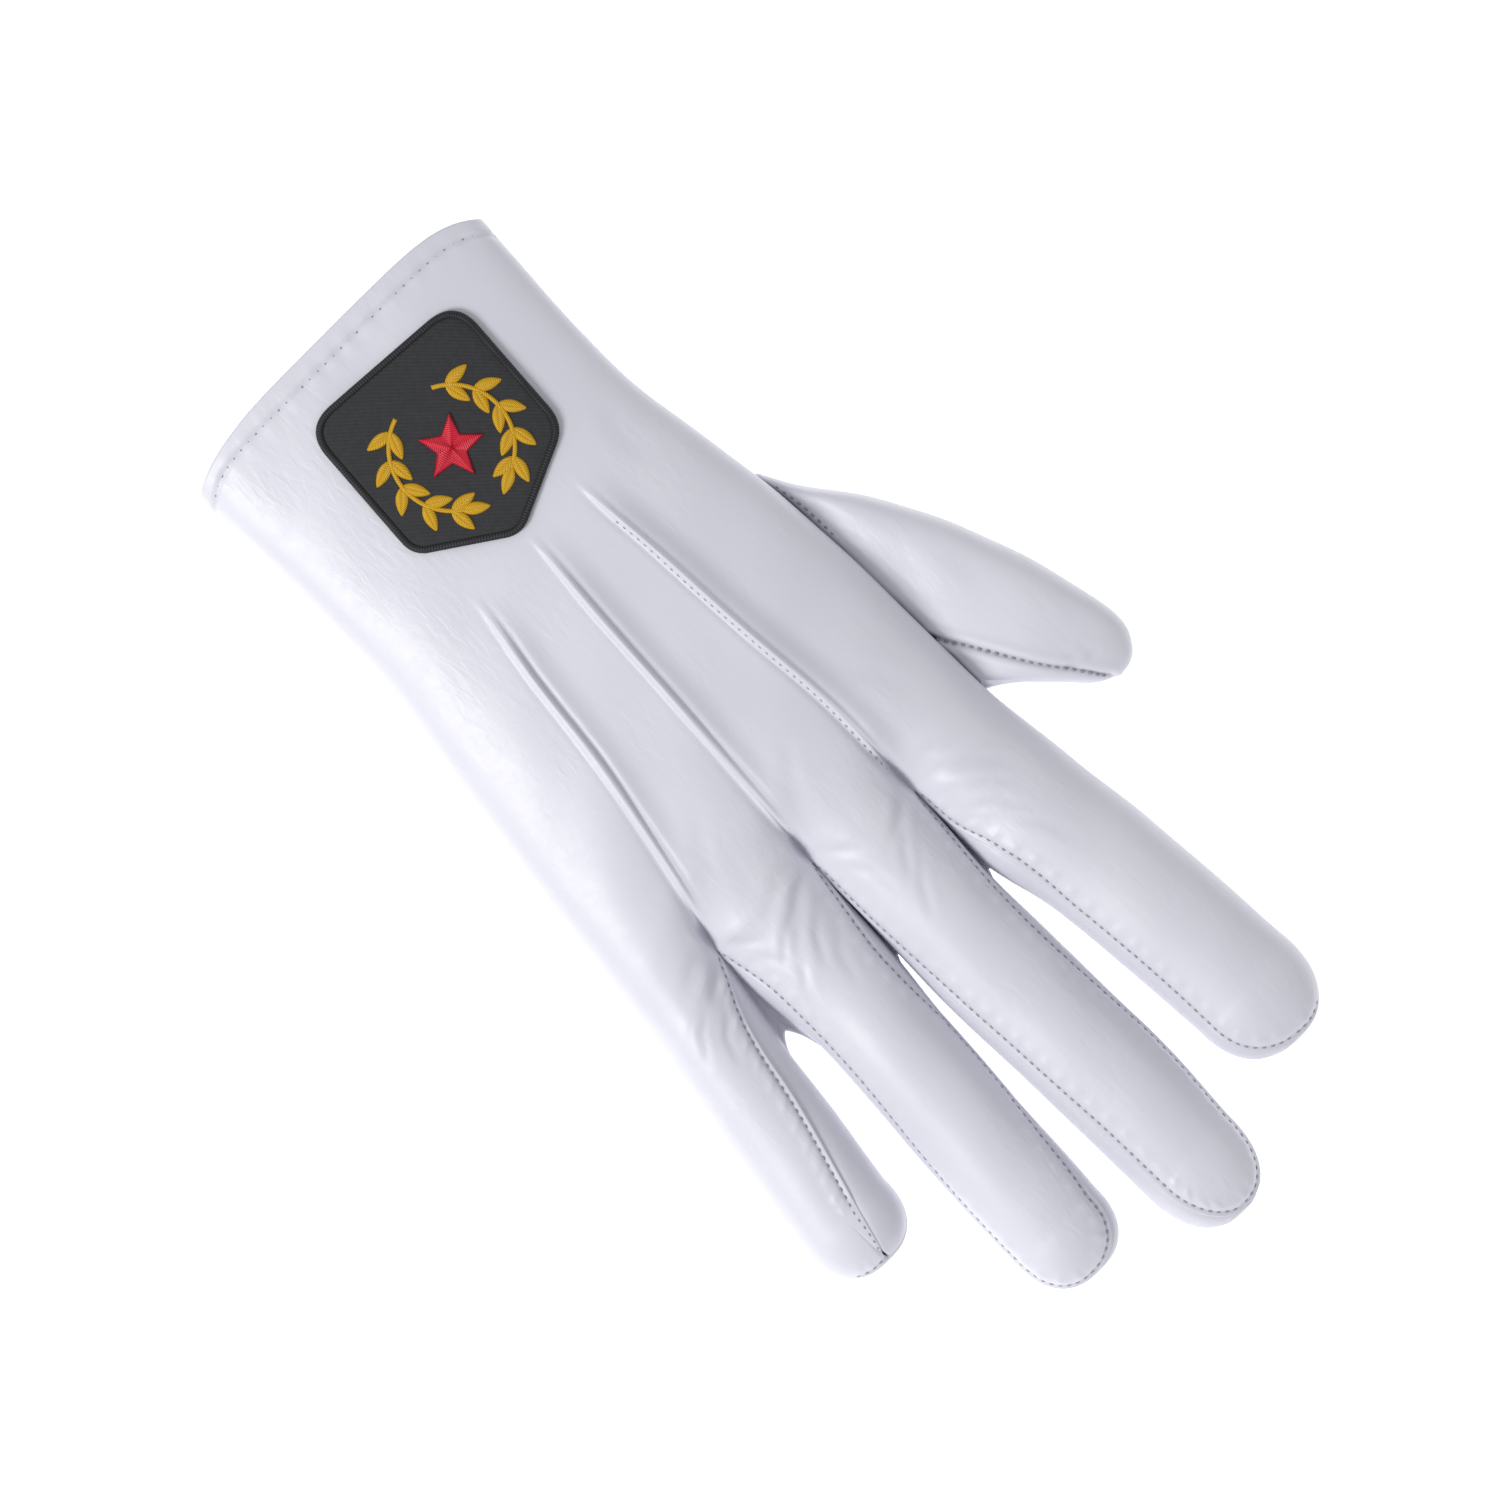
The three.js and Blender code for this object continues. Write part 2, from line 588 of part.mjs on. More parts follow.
// The thumb: a pouch sewn along the hand's side and round its hole in the palm
function thumb() {
  const leather = new Leather();
  const beginY = cuffY + thumbStart * handLength;
  const outline = (column) => thumbRows.map((row, i) => [i / (thumbRows.length - 1), row[column]]);
  const [holeFrom, holeTo] = thumbHole();
  const margin = tightGap * seamGap / thumbLength;
  leather.patch(thumbSteps, thumbTurns, (r, c) => {
    const share = r / thumbSteps;
    const turn = Math.PI * c / thumbTurns;
    const base = handSide(mix(holeFrom, holeTo, mix(margin, 1 - margin, share)));
    const lower = c * 2 > thumbTurns;
    const from = lower
      ? [base.low[0] - tightGap * seamGap, base.low[1], base.low[2]]
      : [base.seam[0], base.seam[1], base.seam[2] - seamGap];
    const tip = [base.seam[0] - thumbSpan * curve(outline('out'), share),
      beginY + thumbLength * curve(outline('along'), share)];
    if (r === 0 || r === thumbSteps) tip[1] = from[1];
    const reach = Math.sin(turn);
    const full = Math.sin(Math.PI * share) ** thumbRound;
    const middle = thumbHeight * thumbMiddle;
    const crown = (thumbHeight - base.seam[2]) * full * Math.sin(2 * Math.min(turn, Math.PI / 2));
    const z = lower
      ? mix(from[2], middle * Math.max(0, 1 - flatLift * (1 - reach ** fingerFlat) ** (1 / fingerFlat)),
        smooth(reach * thumbFlat))
      : mix(middle, from[2], Math.cos(turn)) + crown;
    const away = [tip[0] - from[0], tip[1] - from[1]];
    const size = Math.hypot(...away) + 1e-6;
    return {
      point: [mix(from[0], tip[0], reach), mix(from[1], tip[1], reach), z],
      inward: [-away[0] / size * reach, -away[1] / size * reach, -Math.cos(turn)],
    };
  });
  return leather.geometry();
}

// The hand's thumb side where the thumb is sewn, straight between the palm's rows: the side seam,
// and the hole's lower edge
function handSide(row) {
  const finger = fingers[0];
  const palm = seamAngles(finger, -1, knuckleY, 0).palm + seamGap / fingerHeight;
  const first = Math.min(Math.floor(row), palmRows - 1);
  const at = (angle) => {
    const [a, b] = [first, first + 1].map((step) =>
      handPoint(finger, -1, palmShare(step), angle, palm, 'palm').point);
    return a.map((value, i) => mix(value, b[i], row - first));
  };
  return { seam: at(palm), low: at(mix(Math.PI, palm, palmSteps[thumbColumn])) };
}

// The badge's outline: corners as shares of its width and height from its middle, and their
// rounding as a share of its width
const badgeCorners = [
  { x: 0.02, y: 0.50, round: 0.06 },
  { x: -0.50, y: 0.25, round: 0.08 },
  { x: -0.50, y: -0.50, round: 0.13 },
  { x: 0.50, y: -0.50, round: 0.13 },
  { x: 0.50, y: 0.25, round: 0.06 },
];
const badgeDrift = -0.035;          // of the knuckles' width, off the glove's middle line
const badgeTurn = radians(-4);
const cornerReach = 1.4;            // a rounded corner begins this many roundings from its corner
const cornerSteps = 4;
const edgeSteps = 3;
const badgeRings = [0, 0.3, 0.58, 0.8, 1];
const leafPairs = 5;
const wreathFrom = radians(-68);
const wreathTo = radians(62);
const stemSteps = 10;
const leafLean = radians(38);
const starWaist = 0.45;             // of the star's radius
const badgeTop = badgeSeat + badgeWall;

const along = (a, b, t) => [mix(a[0], b[0], t), mix(a[1], b[1], t)];

function badgeOutline() {
  const corners = badgeCorners.map((row) => [row.x * badgeWidth, row.y * badgeHeight]);
  const points = [];
  badgeCorners.forEach((row, i) => {
    const here = corners[i];
    const before = corners[(i + 4) % 5];
    const after = corners[(i + 1) % 5];
    const size = row.round * badgeWidth * cornerReach;
    const from = along(here, before, size / Math.hypot(before[0] - here[0], before[1] - here[1]));
    const to = along(here, after, size / Math.hypot(after[0] - here[0], after[1] - here[1]));
    for (let k = 0; k <= cornerSteps; k += 1) {
      const t = k / cornerSteps;
      points.push(along(along(from, here, t), along(here, to, t), t));
    }
    const nextSize = badgeCorners[(i + 1) % 5].round * badgeWidth * cornerReach;
    const next = along(after, here, nextSize / Math.hypot(after[0] - here[0], after[1] - here[1]));
    for (let k = 1; k < edgeSteps; k += 1) points.push(along(to, next, k / edgeSteps));
  });
  return points;
}

// Lays a flat place of the badge on the glove's back, lifted off it
function onBack([x, y], lift) {
  const cos = Math.cos(badgeTurn);
  const sin = Math.sin(badgeTurn);
  const placed = [
    badgeDrift * knuckleWidth + x * cos - y * sin, cuffY + badgeCentre + x * sin + y * cos];
  return [...placed, handZ(placed[0], placed[1], true) + lift];
}

// A plate with the badge's outline between two shares of its size, from low to high
function badgePlate(shares, low, high) {
  const outline = badgeOutline();
  const count = outline.length;
  const points = [];
  const faces = [];
  for (const lift of [low, high]) {
    for (const share of shares) {
      for (const [x, y] of outline) points.push(onBack([x * share, y * share], lift));
    }
  }
  const layer = shares.length * count;
  const quad = (a, b, c, d) => faces.push([a, b, c], [a, c, d]);
  for (let i = 0; i < count; i += 1) {
    const next = (i + 1) % count;
    for (let k = 0; k < shares.length - 1; k += 1) {
      const [a, b] = [k * count, (k + 1) * count];
      quad(layer + a + i, layer + b + i, layer + b + next, layer + a + next);
      quad(b + i, a + i, a + next, b + next);
    }
    const rim = layer - count;
    quad(rim + i, rim + next, layer + rim + next, layer + rim + i);
    if (shares[0] > 0) quad(next, i, layer + i, layer + next);
  }
  return tidy(meshOf(points, faces));
}

// Joins coinciding points and drops the flat faces that they leave
function tidy(geometry) {
  geometry.deleteAttribute('normal');
  const merged = mergeVertices(geometry, 1e-4);
  const index = merged.index.array;
  const kept = [];
  for (let i = 0; i < index.length; i += 3) {
    const [a, b, c] = index.slice(i, i + 3);
    if (a !== b && b !== c && a !== c) kept.push(a, b, c);
  }
  merged.setIndex(kept);
  merged.computeVertexNormals();
  return merged;
}

const solidOf = (geometry) => {
  const merged = tidy(geometry);
  return new wasm.Manifold(new wasm.Mesh({
    numProp: 3,
    vertProperties: merged.attributes.position.array,
    triVerts: new Uint32Array(merged.index.array),
  }));
};

function flatSolid(points) {
  const shape = new THREE.Shape(points.map(([x, y]) => new THREE.Vector2(x, y)));
  const geometry = new THREE.ExtrudeGeometry(shape, { depth: motifWall, bevelEnabled: false });
  geometry.deleteAttribute('uv');
  return solidOf(geometry);
}

// Joins flat motifs and lays them on the badge
function motif(solids) {
  const mesh = solids.reduce((all, solid) => all.add(solid)).getMesh();
  const points = [];
  for (let i = 0; i < mesh.vertProperties.length; i += mesh.numProp) {
    const [x, y, z] = mesh.vertProperties.slice(i, i + 3);
    points.push(onBack([x, y], badgeTop + badgeSeat + z));
  }
  const faces = [];
  for (let i = 0; i < mesh.triVerts.length; i += 3) faces.push([...mesh.triVerts.slice(i, i + 3)]);
  return meshOf(points, faces);
}

// A sprig of laurel: a bent stem with pairs of pointed leaves
function sprig(side) {
  const place = (turn, radius) => [side * radius * Math.cos(turn), radius * Math.sin(turn)];
  const stem = [];
  for (const [half, order] of [[-1, 0], [1, 1]]) {
    for (let k = 0; k <= stemSteps; k += 1) {
      const t = order ? 1 - k / stemSteps : k / stemSteps;
      stem.push(place(mix(wreathFrom, wreathTo, t), wreathRadius + half * stemWidth / 2));
    }
  }
  const solids = [flatSolid(stem)];
  for (let k = 0; k < leafPairs; k += 1) {
    const turn = mix(wreathFrom, wreathTo, (k + 0.5) / leafPairs);
    for (const lean of [-1, 1]) solids.push(flatSolid(leaf(place(turn, wreathRadius), turn, lean, side)));
  }
  const end = wreathTo - stemWidth / wreathRadius;
  solids.push(flatSolid(leaf(place(end, wreathRadius), end, 0, side)));
  return motif(solids);
}

// A leaf's outline from its root, leaning off the stem's way
function leaf([x, y], turn, lean, side) {
  const way = turn + Math.PI / 2 - lean * leafLean;
  const [ux, uy] = [side * Math.cos(way), Math.sin(way)];
  const shape = [[0, 0.12], [0.35, 0.46], [0.7, 0.42], [1, 0], [0.7, -0.42], [0.35, -0.46], [0, -0.12]];
  return shape.map(([forward, aside]) => [
    x + ux * forward * leafLength - uy * aside * leafWidth,
    y + uy * forward * leafLength + ux * aside * leafWidth]);
}

function star() {
  const points = [];
  for (let k = 0; k < 10; k += 1) {
    const radius = starRadius * (k % 2 ? starWaist : 1);
    const turn = Math.PI / 2 + k * Math.PI / 5;
    points.push([radius * Math.cos(turn), radius * Math.sin(turn)]);
  }
  return motif([flatSolid(points)]);
}

const finish = (color, roughness) => new THREE.MeshStandardMaterial({ color, roughness });
const leatherFinish = () => finish(0xf1f1f4, 0.42);
const glove = new THREE.Group();
function add(name, geometry, material) {
  const mesh = new THREE.Mesh(geometry, material);
  mesh.name = name;
  glove.add(mesh);
}

add('back_panel', backPanel(), leatherFinish());
add('palm_panel', palmPanel(), leatherFinish());
add('fourchette_index_middle', fourchette(0), leatherFinish());
add('fourchette_middle_ring', fourchette(1), leatherFinish());
add('fourchette_ring_little', fourchette(2), leatherFinish());
add('thumb', thumb(), leatherFinish());

add('badge_backing', badgePlate(badgeRings, badgeSeat, badgeTop), finish(0x2b2b2e, 0.8));
add('badge_border', badgePlate([1 - 2 * borderWidth / badgeWidth, 1], badgeTop + badgeSeat,
  badgeTop + badgeSeat + borderRise), finish(0x1c1c1f, 0.75));
add('badge_sprig_left', sprig(-1), finish(0xf2c11c, 0.55));
add('badge_sprig_right', sprig(1), finish(0xf2c11c, 0.55));
add('badge_star', star(), finish(0xe8203f, 0.6));

export default glove;
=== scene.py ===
# %% [markdown]
# A white leather parade glove, palm down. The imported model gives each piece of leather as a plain
# faceted solid. Here each one is drawn again as a finely divided surface, with the seams, stitches,
# puckers and creases of a sewn glove. The model's frame is loaded first, and all pieces keep to it.

# %% Load the frame
import json
import math

import bmesh
import bpy
import numpy as np
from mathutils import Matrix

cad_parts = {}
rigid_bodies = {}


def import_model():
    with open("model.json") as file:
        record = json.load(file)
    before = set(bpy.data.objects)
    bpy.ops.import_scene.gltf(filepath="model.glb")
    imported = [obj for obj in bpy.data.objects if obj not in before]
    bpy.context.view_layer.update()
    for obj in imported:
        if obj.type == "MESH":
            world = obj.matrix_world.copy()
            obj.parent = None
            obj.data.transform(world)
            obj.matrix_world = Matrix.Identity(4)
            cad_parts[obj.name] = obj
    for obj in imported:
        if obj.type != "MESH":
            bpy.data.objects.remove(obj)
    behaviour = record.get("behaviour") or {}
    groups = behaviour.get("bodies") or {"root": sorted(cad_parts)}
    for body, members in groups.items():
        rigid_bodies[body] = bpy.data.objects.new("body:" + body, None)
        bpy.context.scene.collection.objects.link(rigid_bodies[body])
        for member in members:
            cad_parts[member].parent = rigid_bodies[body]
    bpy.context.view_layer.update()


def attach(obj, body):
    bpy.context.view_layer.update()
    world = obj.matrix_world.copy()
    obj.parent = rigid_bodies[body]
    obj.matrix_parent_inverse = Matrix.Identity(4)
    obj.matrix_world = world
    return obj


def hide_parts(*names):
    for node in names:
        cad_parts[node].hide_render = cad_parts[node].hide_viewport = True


for thing in list(bpy.data.objects):
    bpy.data.objects.remove(thing)
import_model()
MM = 0.001

# %% [markdown]
# The glove's sizes come first, in millimetres, as a glove maker's chart: how wide the hand and the
# wrist are, how long each finger is, and how high the empty glove stands. They could be read off a
# mesh, but written down they can be reasoned about, and every surface below follows them.

# %% Sizes of the glove
KNUCKLE_WIDTH = 96.7
WRIST_WIDTH = 76.8
HAND_LENGTH = 143.2
CUFF_Y = -100.0
KNUCKLE_Y = CUFF_Y + HAND_LENGTH
HAND_HEIGHT = 24.0
FINGER_HEIGHT = 19.0
LENGTHS = dict(index=93.8, middle=110.5, ring=98.7, little=67.3)
WEB_REACH = 21.5
CUFF_CORNER = 5.5
HEM_DEPTH, HEM_STITCH = 4.6, 4.3        # the cuff's turned edge, and its stitches' place in it
LEATHER = 1.25

# %% [markdown]
# A glove's outline is a smooth curve through a few measured widths. A spline object could carry it,
# but a cubic Hermite curve through a table works on whole arrays at once, and passes exactly
# through each measured value.

# %% Curves through tables
def mix(a, b, t):
    """a at t = 0, b at t = 1, straight in between."""
    return a + (b - a) * t


def smooth(t):
    """0 to 1 with level ends: 3 t squared minus 2 t cubed."""
    t = np.clip(t, 0, 1)
    return t * t * (3 - 2 * t)


def curve(knots, t):
    """Cubic Hermite curve through (place, value) rows. Each slope is that of the line between the
    two neighbours, values stay level before the first row and run straight on after the last."""
    place, value = np.asarray(knots, float).T
    last = len(place) - 1
    before = np.maximum(np.arange(last + 1) - 1, 0)
    after = np.minimum(np.arange(last + 1) + 1, last)
    slope = (value[after] - value[before]) / (place[after] - place[before])
    t = np.asarray(t, float)
    inside = np.clip(t, place[0], place[last])
    i = np.clip(np.searchsorted(place, inside, side="right") - 1, 0, last - 1)
    step = place[i + 1] - place[i]
    u = (inside - place[i]) / step
    here = ((2 * u**3 - 3 * u**2 + 1) * value[i] + (u**3 - 2 * u**2 + u) * step * slope[i]
            + (3 * u**2 - 2 * u**3) * value[i + 1] + (u**3 - u**2) * step * slope[i + 1])
    return here + np.maximum(t - place[last], 0) * slope[last]


def bell(d, middle, width):
    """1 at the middle, falling to a third at the width on both sides of it."""
    return np.exp(-((d - middle) / width)**2)


def unit(vectors):
    """The same directions at length 1."""
    return vectors / np.maximum(np.linalg.norm(vectors, axis=-1, keepdims=True), 1e-12)


def run_along(path):
    """How far along a path each of its points lies."""
    return np.concatenate([[0], np.cumsum(np.linalg.norm(np.diff(path, axis=0), axis=-1))])


# %% [markdown]
# The hand swells from the narrow wrist to the knuckles, more on the thumb's side. Each row gives a
# place along the hand, how far each side has swelled, and the height, all as shares. Shares keep
# the form when a size changes.

# %% The hand's table
# share of the hand's length, swell on the thumb's side, swell on the little finger's, height
HAND_ROWS = [
    (0.00, 0.30, 0.09, 0.70), (0.10, 0.18, 0.03, 0.73), (0.24, 0.00, 0.00, 0.78),
    (0.37, 0.06, 0.04, 0.84), (0.50, 0.45, 0.23, 0.92), (0.63, 0.80, 0.45, 0.98),
    (0.80, 0.93, 0.70, 1.00)]
# share of the hand's length, and x of the three raised points as shares of the knuckles' width
POINT_ROWS = [
    (0.00, -0.150, -0.030, 0.125), (0.41, -0.169, -0.018, 0.154), (0.55, -0.183, -0.002, 0.186),
    (0.70, -0.195, 0.011, 0.214), (0.86, -0.213, 0.028, 0.263), (1.00, -0.209, 0.044, 0.312)]
# start as a share of the hand's length, height, depth of the fold line and of the thread's groove
POINT_FORM = [(0.38, 1.70, 0.10, 0.30), (0.39, 1.40, 0.40, 0.10), (0.40, 1.20, 0.60, 0.10)]
# crotches: x and how far past the knuckles on the back, then x and reach on the palm
CROTCHES = [(-0.209, 0.046, -0.206, 1.00), (0.044, 0.000, 0.053, 1.17),
            (0.312, -0.010, 0.331, 0.98)]
CROTCH_HIGH, CROTCH_LOW = 0.70, 0.10
OUTER_START = 0.103
THUMB_SIDE = 0.495                      # share of the wrist's width that lies on the thumb's side

# %% [markdown]
# Each finger is a tube with its own outline. The seams of the back lie a little inside the outline
# where the glove has rolled to one side, most on the little finger, whose seam shows on top.

# %% The fingers' tables
# share of the finger's length, both outlines, both seams' insets, height
FINGER_ROWS = dict(
    index=[(0.00, -0.465, -0.207, 0, 0.006, 1.10), (0.11, -0.474, -0.208, 0, 0.010, 1.06),
           (0.21, -0.486, -0.208, 0, 0.033, 1.03), (0.28, -0.494, -0.208, 0, 0.040, 1.02),
           (0.43, -0.512, -0.241, 0, 0.023, 1.00), (0.64, -0.527, -0.261, 0, 0.021, 0.96),
           (0.84, -0.542, -0.275, 0, 0.017, 0.88)],
    middle=[(0.00, -0.209, 0.045, 0.002, 0.004, 1.14), (0.10, -0.206, 0.0495, 0.004, 0.007, 1.08),
            (0.25, -0.1975, 0.053, 0.007, 0.011, 1.04), (0.36, -0.200, 0.056, 0.010, 0.019, 1.02),
            (0.54, -0.203, 0.050, 0.004, 0.024, 1.00), (0.72, -0.204, 0.0455, 0.002, 0.029, 0.95),
            (0.855, -0.1945, 0.0435, 0.002, 0.032, 0.88)],
    ring=[(0.00, 0.0455, 0.312, 0.003, 0.003, 1.10), (0.10, 0.0507, 0.314, 0.011, 0.022, 1.05),
          (0.20, 0.055, 0.306, 0.018, 0.014, 1.02), (0.28, 0.062, 0.301, 0.014, 0.008, 1.01),
          (0.41, 0.0765, 0.308, 0.002, 0.008, 1.00), (0.61, 0.091, 0.3237, 0.002, 0.003, 0.96),
          (0.80, 0.100, 0.331, 0.012, 0.002, 0.91), (0.875, 0.1055, 0.334, 0.018, 0.002, 0.87)],
    little=[(0.00, 0.320, 0.5346, 0.006, 0, 1.02), (0.15, 0.339, 0.5564, 0.024, 0, 0.98),
            (0.30, 0.3537, 0.572, 0.039, 0, 0.95), (0.45, 0.365, 0.5895, 0.049, 0, 0.93),
            (0.60, 0.3785, 0.607, 0.061, 0, 0.90), (0.82, 0.4033, 0.6287, 0.079, 0, 0.85)])
CAPS = dict(index=0.84, middle=0.855, ring=0.875, little=0.82)
NAMES = ("index", "middle", "ring", "little")


def on_hand(share):
    """y of a share of the hand's length."""
    return CUFF_Y + share * HAND_LENGTH


def along_finger(name, column, scale):
    """Knots of one column of a finger's table."""
    return [(KNUCKLE_Y + row[0] * LENGTHS[name], row[column] * scale) for row in FINGER_ROWS[name]]


def side_knots(name, column, wrist, sign):
    """The hand's side and then the finger's: the wrist's half width grows to the knuckles'."""
    knuckle = abs(FINGER_ROWS[name][0][column]) * KNUCKLE_WIDTH
    swell = 1 if sign < 0 else 2
    hand = [(on_hand(row[0]), sign * mix(wrist, knuckle, row[swell])) for row in HAND_ROWS]
    return hand + along_finger(name, column, KNUCKLE_WIDTH)


# the thumb's side is -1 and the little finger's 1, here and in all that follows
SIDES = {-1: side_knots("index", 1, WRIST_WIDTH * THUMB_SIDE, -1),
         1: side_knots("little", 2, WRIST_WIDTH * (1 - THUMB_SIDE), 1)}
TOP = [(on_hand(row[0]), row[3] * HAND_HEIGHT) for row in HAND_ROWS]
OUTER_Y = KNUCKLE_Y + OUTER_START * KNUCKLE_WIDTH


def point_x(which, y):
    """x of a raised point's line at y."""
    return curve([(on_hand(row[0]), row[1 + which] * KNUCKLE_WIDTH) for row in POINT_ROWS], y)


def crotch(which):
    """Where the fork between two fingers lies on the back and on the palm."""
    x, past, palm_x, reach = CROTCHES[which]
    y = KNUCKLE_Y + past * KNUCKLE_WIDTH
    return dict(which=which,
                back=np.array([x * KNUCKLE_WIDTH, y, CROTCH_HIGH * FINGER_HEIGHT]),
                palm=np.array([palm_x * KNUCKLE_WIDTH, y + reach * WEB_REACH,
                               CROTCH_LOW * FINGER_HEIGHT]))


FORKS = [crotch(k) for k in range(3)]
FINGERS = []
for number, name in enumerate(NAMES):
    FINGERS.append(dict(
        name=name,
        edge={-1: SIDES[-1] if number == 0 else along_finger(name, 1, KNUCKLE_WIDTH),
              1: SIDES[1] if number == 3 else along_finger(name, 2, KNUCKLE_WIDTH)},
        inset={-1: along_finger(name, 3, KNUCKLE_WIDTH), 1: along_finger(name, 4, KNUCKLE_WIDTH)},
        high=along_finger(name, 5, FINGER_HEIGHT),
        cap=KNUCKLE_Y + CAPS[name] * LENGTHS[name],
        tip=KNUCKLE_Y + LENGTHS[name],
        fork={-1: FORKS[number - 1] if number > 0 else None,
              1: FORKS[number] if number < 3 else None}))
print("fingertips at y", [round(finger["tip"], 1) for finger in FINGERS])

# %% [markdown]
# Cut across, an empty glove is a flattened tube: nearly straight over the back, round at the sides
# and flat where it lies. A circle would look inflated. A superellipse, whose power says how square
# it is, gives the flattened look with one number for the back and one for the palm.

# %% Profiles of the hand and the fingers
SIDE_SHARE, FINGER_SIDE_SHARE = 0.46, 0.48
HAND_CROWN, PALM_FLAT, FINGER_FLAT, FLAT_LIFT = 2.5, 5, 3, 1.03
FINGER_SQUARE = 2.4
SIDE_SEAM, TIP_SEAM = math.radians(90), math.radians(72)
# a seam nearer the crest than this keeps its course, which is measured over the last few mm
TOP_SEAM, LEAN_STEP = math.radians(35), 2.0
FOURCHETTE_TURN = math.radians(62)
PALM_SEAM = (math.radians(96), math.radians(130))
KNUCKLE_FADE, CROTCH_FADE, WEB_FADE = 45.0, 16.0, 0.3   # mm, mm, share of the finger's rows


def cuff_edge(across):
    """y of the cuff's edge, which turns back at its two corners."""
    return CUFF_Y + CUFF_CORNER * across**8


def flattened(share, power):
    """Underside: level over most of its width, curling up to the side at share 1."""
    return np.maximum(0, 1 - FLAT_LIFT * (1 - np.clip(share, 0, 1)**power)**(1 / power))


def sideways(x, y):
    """0 on the hand's middle line and 1 at its sides."""
    left, right = curve(SIDES[-1], y), curve(SIDES[1], y)
    return np.abs((2 * x - left - right) / (right - left))


def hand_z(x, y, upper):
    """Height of the hand: a superellipse above its sides, a flattened one below them."""
    across = np.minimum(sideways(x, y), 1)
    top = curve(TOP, np.minimum(y, KNUCKLE_Y))
    side = SIDE_SHARE * top
    crown = side + (top - side) * (1 - across**HAND_CROWN)**(1 / HAND_CROWN)
    return np.where(upper, crown, side * flattened(across, PALM_FLAT))


def seam_angles(finger, side, row):
    """Profile angles, from the crest round to the palm, at which the back and the palm end. A seam
    on top of a finger keeps its course until it meets the outline near the tip."""
    y, turned = mix(KNUCKLE_Y, finger["cap"], np.clip(row, 0, 1)), np.clip(row - 1, 0, 1)
    if finger["fork"][side] is None:
        angle = mix(SIDE_SEAM, TIP_SEAM, turned**2)
        return angle, angle

    def inset(at):
        return curve(finger["inset"][side], at)

    def seam_x(at):
        return curve(finger["edge"][side], at) - side * inset(at)

    half = (curve(finger["edge"][1], y) - curve(finger["edge"][-1], y)) / 2
    back = np.arcsin(np.clip(1 - inset(y) / half, 0.2, 0.985))
    palm = np.clip(back + FOURCHETTE_TURN, *PALM_SEAM)
    power = 2 / FINGER_SQUARE
    wide = np.maximum(np.cos(turned * math.pi / 2), 0.01)**power
    ahead = np.sin(turned * math.pi / 2)**power * (finger["tip"] - finger["cap"]) / half
    lean = np.maximum(0, -side * (seam_x(y) - seam_x(y - LEAN_STEP)) / LEAN_STEP)
    straight = np.arcsin(np.minimum(np.sin(back) / (wide + lean * ahead), math.sin(TIP_SEAM)))
    tip = np.where(back < TOP_SEAM, straight, mix(back, TIP_SEAM, turned**3))
    return tip, mix(palm, TIP_SEAM, turned**2)


def crest_x(finger, y):
    """Middle line of a finger, drawn to the middle between its crotches at the root."""
    root = [curve(SIDES[side], OUTER_Y) if fork is None else fork["back"][0]
            for side, fork in finger["fork"].items()]

    def plain(at):
        return (curve(finger["edge"][-1], at) + curve(finger["edge"][1], at)) / 2

    fade = 1 - smooth((y - KNUCKLE_Y) / (WEB_FADE * LENGTHS[finger["name"]]))
    return plain(y) + (sum(root) / 2 - plain(KNUCKLE_Y)) * fade


def tube(finger, side, y, turned, angle):
    """A finger's bare tube: angle 0 is its crest and half a turn its underside. turned goes from
    0 to 1 round the fingertip, which is a superellipse seen from above."""
    share = np.sin(angle)
    high = curve(finger["high"], y)
    middle = FINGER_SIDE_SHARE * high
    crest = crest_x(finger, y)
    edge = curve(finger["edge"][side], y)
    turn = turned * math.pi / 2
    power = 2 / FINGER_SQUARE
    wide = np.maximum(np.cos(turn), 0)**power
    forward = np.sin(turn)**power * (finger["tip"] - finger["cap"])
    z = np.where(angle <= math.pi / 2, middle + (high - middle) * np.cos(angle),
                 middle * flattened(share, FINGER_FLAT))
    return np.stack(np.broadcast_arrays(crest + share * (edge - crest) * wide,
                                        y + share * forward, z), -1)


# %% [markdown]
# Between two fingers the back ends in a crotch high up, and the palm in one lower and further out.
# Each finger's surface is therefore a bare tube, pulled onto its crotch near the root. The pull
# fades out along the finger, as the leather's own stiffness makes it do.

# %% A finger's surface and the hand's
def root_y(finger, side, kind, share):
    """Where a finger begins, from one crotch across to the other."""
    forks = finger["fork"]
    here = OUTER_Y if forks[side] is None else forks[side][kind][1]
    there = OUTER_Y if forks[-side] is None else forks[-side][kind][1]
    return mix(there, here, (1 + share) / 2)


def finger_point(finger, side, row, angle, seam, kind):
    """Row 0 to 1 runs along the finger and 1 to 2 round its tip. seam is the angle of the piece's
    edge, or for a fourchette the share down its fold at the crotch."""
    fork = finger["fork"][side]
    turned, along = np.clip(row - 1, 0, 1), np.clip(row, 0, 1)
    if kind == "web":
        target = mix(fork["back"], fork["palm"], np.asarray(seam)[..., None])
        start, weight = target[..., 1], 1.0
    else:
        share = np.sin(angle) / np.sin(seam) if fork else np.sin(angle)
        start, weight = root_y(finger, side, kind, share), share
        target = fork[kind] if fork else None
    y = mix(start, finger["cap"], along)
    point = tube(finger, side, y, turned, angle)
    if fork:
        edge_y = start if kind == "web" else target[1]
        edge = tube(finger, side, edge_y, 0.0, angle if kind == "web" else seam)
        pull = weight * (1 - np.clip(along / WEB_FADE, 0, 1))**2
        point[..., 0] += (target[..., 0] - edge[..., 0]) * pull
        point[..., 2] += (target[..., 2] - edge[..., 2]) * pull
    return point


